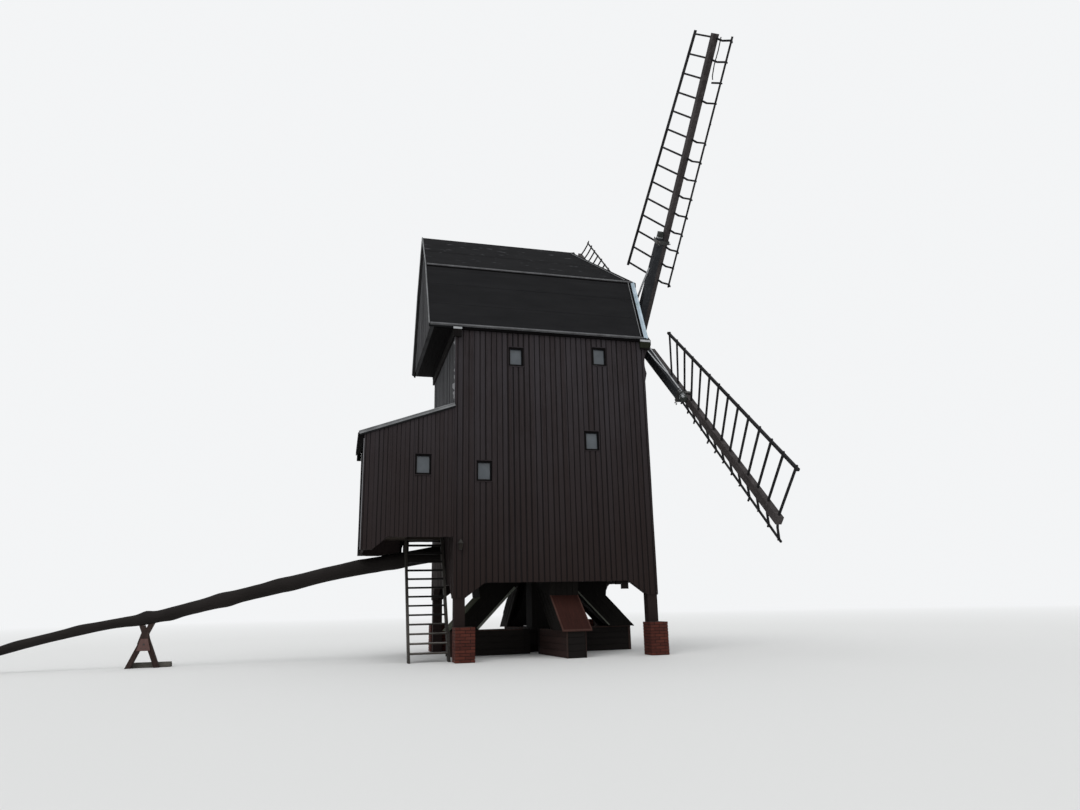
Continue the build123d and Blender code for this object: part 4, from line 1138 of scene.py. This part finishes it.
def cover_boards():
    """Boards on the hoods over the trestle's struts. The near hood's slope is a red-brown panel."""
    boards, edges, mossy = piles(3)
    run = math.dist(COVER_FOOT, COVER_KINK)
    rise = math.dist(COVER_KINK, COVER_HEAD)
    length = math.dist(CHEEK_FOOT, CHEEK_SIDE)
    width = 2 * COVER_HALF / 5
    for side in range(NEAR_SIDE + 1):
        slope = line_face(side, COVER_FOOT, COVER_KINK)
        upright = line_face(side, COVER_KINK, COVER_HEAD)
        if side == NEAR_SIDE:
            panel = Pile()
            slope.slab(panel, (-COVER_HALF, COVER_HALF), (-0.02, run + 0.01), (0.0, 0.02), 0.3, chamfer=0.004)
            panel.build("red_strut_panel", "strut_boards")
            trim = Pile()
            for u in ((-COVER_HALF - 0.004, -COVER_HALF + 0.035), (COVER_HALF - 0.035, COVER_HALF + 0.004)):
                slope.slab(trim, u, (-0.02, run), (0.004, 0.03), chamfer=0.004)
            slope.slab(trim, (-COVER_HALF, COVER_HALF), (-0.035, 0.012), (-0.01, 0.026), chamfer=0.004)
            trim.build("red_panel_edges", "strut_edge", "strut_boards")
        for index in range(5):
            u = (-COVER_HALF + index * width + 0.004, -COVER_HALF + (index + 1) * width - 0.004)
            lift = random.uniform(0, 0.006)
            if side != NEAR_SIDE:
                pile = mossy if side == REAR_SIDE else boards
                slope.slab(pile, u, (-0.02, run), (0.0, 0.014 + lift), random.random(), chamfer=0.003)
            upright.slab(boards, u, (0.01, rise), (0.0, 0.014 + lift), random.random(), chamfer=0.003)
        for across in (-1, 1):
            cheek = line_face(side, CHEEK_FOOT, CHEEK_SIDE, across)
            sense = 1 if cheek.across.z > 0 else -1
            for row in range(1, 4):
                u = sorted((sense * row * 0.185, sense * (row * 0.185 + 0.018)))
                cheek.slab(boards, u, (0.02, length * (1 - 0.2 * row)), (0.0, 0.012), 0.8)
            pale_width = PALE_EDGES.get((side, across))
            u = sorted((0.0, sense * (pale_width or 0.028)))
            pile = edges if pale_width else boards
            cheek.slab(pile, u, (0.03, length - 0.02), (0.0, 0.022), random.random(), chamfer=0.003)
    boards.build("strut_cover_boards", "dark_strut", "strut_boards")
    edges.build("strut_cover_edges", "weathered_edge", "strut_boards")
    mossy.build("mossy_cover_boards", "mossy_strut", "strut_boards")


def casing_boards():
    """Lapped boards on the trestle's long casings, with upright corner pieces."""
    boards, edges, brown = piles(3)
    rows = 4
    pitch = PIER_TOP / rows
    for side in range(4):
        end = arm_face(side, (PIER_SPAN[1], 0, 0), (0, 0, 1), (1, 0, 0))
        sides = [arm_face(side, (0, y * PIER_HALF, 0), (0, 0, 1), (0, y, 0)) for y in (-1, 1)]
        for row in range(rows):
            v = (row * pitch + 0.004, (row + 1) * pitch - 0.004)
            lift = random.uniform(0, 0.006)
            end.slab(boards, (-PIER_HALF, PIER_HALF), v, (0.0, 0.012 + lift), random.random(), chamfer=0.004)
            for face in sides:
                lift = random.uniform(0, 0.006)
                span = sorted(face.across.dot(end.out) * x for x in (0.62, PIER_SPAN[1]))
                # Only the near casing's face towards the rear takes the lighter brown. The other faces take
                # the near-black boards: lit and shaded copies of one boarding, painted.
                pile = brown if side == NEAR_SIDE and face.out.x < 0 else boards
                face.slab(pile, span, v, (0.0, 0.012 + lift), random.random(), chamfer=0.004)
        for face in sides:
            sense = face.across.dot(end.out)
            edge = sorted(sense * x for x in (PIER_SPAN[1] - 0.06, PIER_SPAN[1] + 0.02))
            face.slab(edges, edge, (0.0, PIER_TOP), (0.01, 0.03), random.random(), chamfer=0.004)
            top = sorted(sense * x for x in (0.65, PIER_SPAN[1] - 0.02))
            v = (PIER_TOP - 0.03, PIER_TOP + 0.004)
            face.slab(edges, top, v, (0.004, 0.026), random.random(), chamfer=0.004)
    boards.build("casing_boards", "pier_boards")
    edges.build("casing_edges", "casing_edge", "pier_boards")
    brown.build("brown_casing_boards", "casing_brown", "pier_boards")


def skirt_bracket():
    """A stepped block under the near wall's skirt."""
    bracket = Pile()
    face = side_face(-HALF_WIDTH + 0.15, -1)
    face.slab(bracket, (1.66, 2.02), (1.84, SKIRT), (-0.05, 0.05), chamfer=0.006)
    face.slab(bracket, (1.83, 2.02), (1.72, 1.85), (-0.05, 0.05), chamfer=0.006)
    bracket.build("skirt_bracket", "structure_timber")


brickwork()
cover_boards()
casing_boards()
skirt_bracket()


# Stair, landing and lamp
TREAD_COUNT = 13
TREAD_GOING = 0.13
TREAD_RISE = FLOOR_TOP / (TREAD_COUNT + 1)
STAIR_RIGHT = -2.86
STAIR_LEFT = -3.93


def worn_stair():
    """Pale worn edges along the treads' fronts."""
    wear = Pile()
    for step in range(1, TREAD_COUNT + 1):
        nose = -0.455 - (TREAD_COUNT + 1 - step) * TREAD_GOING
        top = step * TREAD_RISE
        rings = []
        count = 12
        for index in range(count + 1):
            x = STAIR_LEFT + 0.062 + (STAIR_RIGHT - STAIR_LEFT - 0.124) * index / count
            wave = ripple(x * 4.0, step * 2.3, 0.5)
            depth = 0.05 + 0.03 * wave
            drop = 0.016 + 0.01 * wave
            rings.append([at(x, *p) for p in (
                (nose + depth, top), (nose + depth, top + 0.002), (nose - 0.002, top + 0.002),
                (nose - 0.003, top - drop), (nose, top - drop), (nose, top),
            )])
        wear.tube(rings, random.random())
    wear.build("worn_tread_edges", "stair_edge", "stair_timber")


def landing_posts():
    """Three short posts and a rail under the porch floor, beside the stair's head."""
    posts = Pile()
    face = side_face(0.04, -1)
    v = (2.86, FLOOR_TOP - 0.06)
    for x in (-4.0, -3.905, -3.8):
        face.slab(posts, (x - 0.03, x + 0.03), v, (-0.06, 0.0), random.random(), chamfer=0.004)
    face.slab(posts, (-4.03, -3.77), (3.1, 3.18), (-0.06, 0.01), random.random(), chamfer=0.004)
    posts.build("landing_posts", "shadow_black_boards", "dark_boards")


def lantern():
    """A small six-sided wall lantern: bars, glass, a stepped roof and a finial, on a bracket."""
    metal, panes = piles(2)
    low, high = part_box("wall_lamp")
    x = (low.x + high.x) / 2
    wall = -HALF_WIDTH - BOARD_RISE
    centre = Vector((x, (low.y + wall) / 2 - 0.005, 0))
    foot, head = low.z + 0.02, high.z - 0.11

    def ring(height, radius):
        angles = [2 * math.pi * i / 6 for i in range(6)]
        return [(centre.x + radius * math.cos(a), centre.y + radius * math.sin(a), height) for a in angles]

    panes.tube([ring(foot, 0.036), ring(head, 0.062)])
    roof = [(0.0, 0.078), (0.012, 0.08), (0.05, 0.045), (0.06, 0.048)]
    roof += [(0.085, 0.018), (0.1, 0.02), (0.11, 0.006)]
    metal.tube([ring(head + lift, radius) for lift, radius in roof])
    cup = [(-0.02, 0.014), (-0.008, 0.03), (0.0, 0.042), (0.008, 0.04)]
    metal.tube([ring(foot + lift, radius) for lift, radius in cup])
    for corner_low, corner_high in zip(ring(foot, 0.038), ring(head, 0.064)):
        a, b = Vector(corner_low), Vector(corner_high)
        offsets = [Vector((dx, dy, 0)) for dx, dy in ((0.004, 0), (0, 0.004), (-0.004, 0), (0, -0.004))]
        metal.tube([[a + o for o in offsets], [b + o for o in offsets]])
    back = Face((x, wall, 0), (1, 0, 0), (0, 0, 1), (0, -1, 0))
    back.slab(metal, (-0.035, 0.035), (low.z + 0.02, high.z - 0.03), (0.0, 0.014), chamfer=0.004)
    back.slab(metal, (-0.009, 0.009), (head, head + 0.02), (0.01, wall - centre.y), chamfer=0.003)
    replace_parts(metal.build("wall_lantern", "lamp_metal"), "wall_lamp")
    panes.build("lantern_glass", "lamp_glass", "pane")


worn_stair()
landing_posts()
lantern()


# Tail pole and its trestle

# Swellings of the trunk: x, angle round it, how far they stand out, and half their length
LUMPS = [
    (-8.75, 90, 0.035, 0.25), (-7.3, 90, 0.02, 0.3), (-10.5, 80, 0.06, 0.16), (-8.5, 270, 0.03, 0.22),
    (-6.85, 250, 0.025, 0.25), (-9.83, 270, 0.035, 0.2), (-12.0, 100, 0.03, 0.3), (-5.2, 60, 0.02, 0.3),
    (-4.1, 280, 0.02, 0.25), (-13.4, 90, 0.025, 0.3), (-6.1, 150, 0.03, 0.12), (-9.2, 200, 0.03, 0.1),
]


# The trunk is smooth under the body, from here on
SMOOTH_FROM = -3.1


def bark(x, angle, radius):
    """How far the trunk's skin stands out, as a share of its radius."""
    rough = 0.045 * ripple(x * 1.3, math.cos(angle) * 1.2, math.sin(angle) * 1.2)
    rough += 0.02 * ripple(x * 4.0, math.cos(angle) * 3, math.sin(angle) * 3)
    for lump_x, lump_angle, size, reach in LUMPS:
        turn = math.cos(angle - math.radians(lump_angle))
        if turn > 0:
            rough += size / radius * math.exp(-((x - lump_x) / reach) ** 2) * turn ** 3
    return rough


def trunk():
    """A peeled trunk with knots and hollows, sawn at both ends, and smooth where it runs under the body."""
    pile = Pile()
    spots = 26
    count = 190
    start, end = POLE[0][0], POLE[-1][0]
    rings = []
    for step in range(count + 1):
        x = start + (end - start) * step / count
        inside = x > SMOOTH_FROM
        smooth = 0.05 if inside else 0.35
        around = [x + smooth * k / 3 for k in range(-3, 4)]
        height = sum(pole_height(place) for place in around) / len(around)
        radius = sum(pole_radius(place) for place in around) / len(around)
        edge = 1.0 if 0 < step < count else 0.93
        ring = []
        for spot in range(spots):
            angle = 2 * math.pi * spot / spots
            rough = 0.0 if inside else bark(x, angle, radius)
            r = radius * (0.985 + rough) * edge
            ring.append(at(x, r * math.cos(angle), max(height + r * math.sin(angle), 0.0)))
        rings.append(ring)
    pile.tube(rings)
    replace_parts(pile.build("tail_trunk", "pole_timber", smooth=True), "tail_pole")


def trestle_details():
    """A tapered plate with three bolts over the crossing of the trestle's legs."""
    plate, bolts = piles(2)
    low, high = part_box("pole_trestle")
    face = Face(Vector(((low.x + high.x) / 2, low.y, 0)), (1, 0, 0), (0, 0, 1), (0, -1, 0))
    top = 0.72
    foot = top - 0.3
    rings = []
    for w, c in ((0.0, 0.0), (0.012, 0.0), (0.016, 0.006)):
        corners = (-0.165 + c, foot + c), (0.165 - c, foot + c), (0.085 - c, top - c), (-0.085 + c, top - c)
        rings.append([face.point(*corner, w) for corner in corners])
    plate.tube(rings, 0.7)
    face.bolt(bolts, 0.0, top - 0.14, 0.016, 0.022, 0.014)
    for u in (-0.05, 0.05):
        face.bolt(bolts, u, top - 0.24, 0.016, 0.01, 0.008, 8)
    plate.build("trestle_plate", "plate_timber", "pole_timber")
    bolts.build("trestle_bolts", "iron")


trunk()
trestle_details()


# Sails
def sail_face(index, front=True):
    """A sail's own plane: u towards its wide side, v out along it, w away from the plane."""
    angle = REST_ANGLE + math.radians(90 * index)
    across = Vector((0, math.cos(angle), math.sin(angle)))
    up = Vector((0, -math.sin(angle), math.cos(angle)))
    sense = 1 if front else -1
    return Face(at(STOCK_PLANES[index % 2], 0, SHAFT_Z), across, up, (sense, 0, 0))


def stock_back(radius):
    return 0.17 - 0.07 * abs(radius) / STOCK_REACH


def strap(pile, face, path, half, thickness):
    """A flat iron strap through points given as (u, v, w)."""
    section = ((-half, 0.0), (-half, thickness), (half, thickness), (half, 0.0))
    rings = [[face.point(u + a, v, w + b) for a, b in section] for u, v, w in path]
    pile.tube(rings, random.random())


def moved(path, u, w=0.0):
    return [(a + u, b, c + w) for a, b, c in path]


def clamp(front, piles):
    """The irons where a whip is held on its stock's end: three rods with nuts, a block and two straps."""
    straps, irons, rods, blocks = piles
    for offset, w in ((-0.05, -0.105), (0.045, -0.105), (0.0, 0.255)):
        rod = Face(front.point(0, CLAMP_RADIUS + offset, w), front.up, front.out, front.across)
        rod.bolt(rods, 0, 0, -0.27, 0.009, 0.54, 8)
        rod.bolt(irons, 0, 0, -0.245, 0.022, 0.024)
        rod.bolt(irons, 0, 0, 0.221, 0.022, 0.024)
    end = STOCK_REACH
    front.slab(blocks, (-0.02, 0.13), (end - 0.02, end + 0.2), (-0.09, 0.078), 0.4, chamfer=0.012)
    front.slab(straps, (-0.03, 0.14), (end + 0.02, end + 0.045), (-0.096, 0.06), 0.4, chamfer=0.004)
    front.slab(straps, (0.1, 0.145), (end + 0.09, end + 0.2), (-0.094, -0.03), 0.9, chamfer=0.004)


def sail_irons():
    """Straps on the stocks' flanks, a stay from the top stock to the other one, bolts and clamps."""
    straps, irons, rods, blocks, seam_shadows = piles(5)
    long_strap = [(-0.145, 0.45), (-0.1, 1.5), (-0.01, 2.4), (-0.005, STOCK_REACH)]
    short_strap = [(0.035, 0.45), (0.012, 2.3)]
    stay = [(0.84, 0.1, -0.152), (0.43, 1.43, 0.1), (0.22, 2.05, 0.12), (0.01, 2.68, 0.11)]
    for index in range(4):
        back = sail_face(index, front=False)
        front = sail_face(index)
        if index != TOP_SAIL:
            flank = Face(front.point(0, 0, 0), front.out, front.up, front.across)
            for path in (long_strap, short_strap):
                strap(straps, flank, [(u, v, STOCK_HALF + 0.002) for u, v in path], 0.022, 0.014)
        for radius in (0.95, 1.7, 2.45, 3.1):
            back.bolt(irons, -0.03, radius, stock_back(radius), 0.024, 0.03)
            front.bolt(irons, 0.0, radius, WHIP_FRONT, 0.024, 0.028)
        # A near-black strip along each stock's back: painted shade.
        back.slab(seam_shadows, (-0.016, -0.004), (0.6, STOCK_REACH - 0.1), (0.09, stock_back(STOCK_REACH) + 0.001))
        if index == TOP_SAIL:
            for u in (0.0, 0.07):
                strap(straps, back, moved(stay, u), 0.02, 0.02)
            # A near-black strip between the stay's two straps: painted shade.
            strap(seam_shadows, back, moved(stay, 0.035, -0.006), 0.02, 0.012)
        clamp(front, (straps, irons, rods, blocks))
    straps.build("stock_straps", "cap_metal", "iron", body="sails")
    irons.build("stock_bolts", "iron", body="sails")
    rods.build("clamp_rods", "pale_iron", "iron", body="sails")
    blocks.build("clamp_blocks", "clamp_wood", "sail_timber", body="sails")
    seam_shadows.build("stock_seam_shadows", "shadow_black_boards", "stock_timber", body="sails")


SAIL_RADIUS = 9.5
LONGERON_START = 2.27
FIRST_RUNG = 2.37
LAST_RUNG = 9.4
RUNG_COUNT = 14

# The long laths on the wide and the narrow side, as (u, w) at their start and at the tip
TRAILING = ((1.455, -0.307), (1.4, 0.139))
LEADING = ((-0.505, 0.43), (-0.61, 0.409))


def rung_ends():
    """Rungs stick out a little past the long laths, unevenly."""
    stubs = Pile()
    for index in range(4):
        face = sail_face(index)
        for ends, sense in ((TRAILING, 1), (LEADING, -1)):
            for rung in range(RUNG_COUNT):
                radius = FIRST_RUNG + rung * (LAST_RUNG - FIRST_RUNG) / (RUNG_COUNT - 1)
                share = (radius - LONGERON_START) / (SAIL_RADIUS - LONGERON_START)
                u = ends[0][0] + (ends[1][0] - ends[0][0]) * share
                w = ends[0][1] + (ends[1][1] - ends[0][1]) * share
                length = random.uniform(0.035, 0.06) if sense > 0 else random.uniform(0.03, 0.13)
                drop = random.uniform(-0.01, 0.015) if sense > 0 else random.uniform(-0.05, 0.0)
                rings = []
                for reach, slide, half in ((0.0, 0.0, 0.022), (0.02 + length, drop, 0.018)):
                    square = ((-half, -half), (-half, half), (half, half), (half, -half))
                    middle = (u + sense * reach, radius + slide)
                    rings.append([face.point(middle[0], middle[1] + a, w + b) for a, b in square])
                stubs.tube(rings, random.random())
    stubs.build("rung_ends", "sail_timber", body="sails")


def loose_lath():
    """A lath that has come off at the top sail's tip and hangs from its last rung."""
    lath = Pile()
    face = sail_face(TOP_SAIL)
    points = [(-0.42, 9.44, 0.17), (-0.41, 9.1, 0.19), (-0.4, 8.75, 0.18)]
    points += [(-0.42, 8.45, 0.2), (-0.5, 8.36, 0.2)]
    section = ((-0.016, -0.01), (-0.016, 0.01), (0.016, 0.01), (0.016, -0.01))
    lath.tube([[face.point(u + a, v, w + b) for a, b in section] for u, v, w in points])
    lath.build("loose_lath", "sail_timber", body="sails")


sail_irons()
rung_ends()
loose_lath()


# Floor, light and camera
BACKDROP = (0.9, 0.91, 0.92)


def seen(tree, *others):
    """1 for camera rays and the other kinds of ray that are named, 0 for the rest."""
    rays = tree.nodes.new("ShaderNodeLightPath")
    found = rays.outputs["Is Camera Ray"]
    for kind in others:
        either = tree.nodes.new("ShaderNodeMath")
        either.operation = "MAXIMUM"
        tree.links.new(found, either.inputs[0])
        tree.links.new(rays.outputs[kind], either.inputs[1])
        found = either.outputs[0]
    return found


def blend(tree, share, usual, shown, output):
    """Mixes two shaders into a tree's output."""
    mixed = tree.nodes.new("ShaderNodeMixShader")
    for socket, value in zip(mixed.inputs, (share, usual.outputs[0], shown.outputs[0])):
        tree.links.new(value, socket)
    tree.links.new(mixed.outputs[0], tree.nodes[output].inputs["Surface"])


def stage_floor():
    """A pale floor that turns into the backdrop's colour far away."""
    mesh = bpy.data.meshes.new("studio_floor")
    reach = 400.0
    corners = [(-reach, -reach, 0), (reach, -reach, 0), (reach, reach, 0), (-reach, reach, 0)]
    mesh.from_pydata(corners, [], [(0, 1, 2, 3)])
    floor = put("studio_floor", mesh)
    floor.location.z = -0.002
    paint = Paint("studio_floor", roughness=0.9, specular=0.1)
    paint.colour((0.72, 0.72, 0.71))
    distance = paint.tree.nodes.new("ShaderNodeVectorMath")
    distance.operation = "LENGTH"
    paint.feed(distance.inputs[0], paint.place)
    far = paint.ramp(distance.outputs["Value"], 22.0, 90.0)
    share = paint.math("MULTIPLY", far, seen(paint.tree, "Is Glossy Ray", "Is Transmission Ray"))
    glow = paint.tree.nodes.new("ShaderNodeEmission")
    glow.inputs["Color"].default_value = (*BACKDROP, 1.0)
    blend(paint.tree, share, paint.shader, glow, "Material Output")
    mesh.materials.append(paints["studio_floor"])


def studio_light():
    """An overcast sky with a soft sun. The camera sees the backdrop instead of the sky."""
    world = bpy.data.worlds.new("studio")
    bpy.context.scene.world = world
    world.use_nodes = True
    tree = world.node_tree
    dome = tree.nodes["Background"]
    dome.inputs["Color"].default_value = (0.97, 0.985, 1.0, 1.0)
    dome.inputs["Strength"].default_value = 0.85
    shown = tree.nodes.new("ShaderNodeBackground")
    shown.inputs["Color"].default_value = (*BACKDROP, 1.0)
    blend(tree, seen(tree, "Is Transmission Ray"), dome, shown, "World Output")
    lamp = bpy.data.lights.new("soft_sun", "SUN")
    lamp.energy = 0.9
    lamp.angle = math.radians(50)
    sun = put("soft_sun", lamp)
    sun.rotation_euler = (math.radians(38), 0, math.radians(-35))


def photo_camera():
    """The photograph's viewpoint, from its fitted place, turn and focal length."""
    place = at(-5.670, -22.146, 1.361)
    yaw, pitch, roll = math.radians(14.91), math.radians(14.87), math.radians(-1.27)
    focal_pixels = 749.8
    image_width = 1080
    ahead = Vector((math.sin(yaw) * math.cos(pitch), math.cos(yaw) * math.cos(pitch), math.sin(pitch)))
    level_right = Vector((math.cos(yaw), -math.sin(yaw), 0))
    level_up = level_right.cross(ahead)
    right = level_right * math.cos(roll) + level_up * math.sin(roll)
    up = level_up * math.cos(roll) - level_right * math.sin(roll)
    camera = put("camera", bpy.data.cameras.new("camera"))
    camera.data.sensor_width = 36.0
    camera.data.lens = focal_pixels / image_width * camera.data.sensor_width
    camera.data.clip_end = 1000
    turn = Matrix((right, up, -ahead)).transposed()
    camera.matrix_world = Matrix.Translation(place) @ turn.to_4x4()
    bpy.context.scene.camera = camera


stage_floor()
studio_light()
photo_camera()
bpy.context.scene.view_settings.view_transform = "Standard"
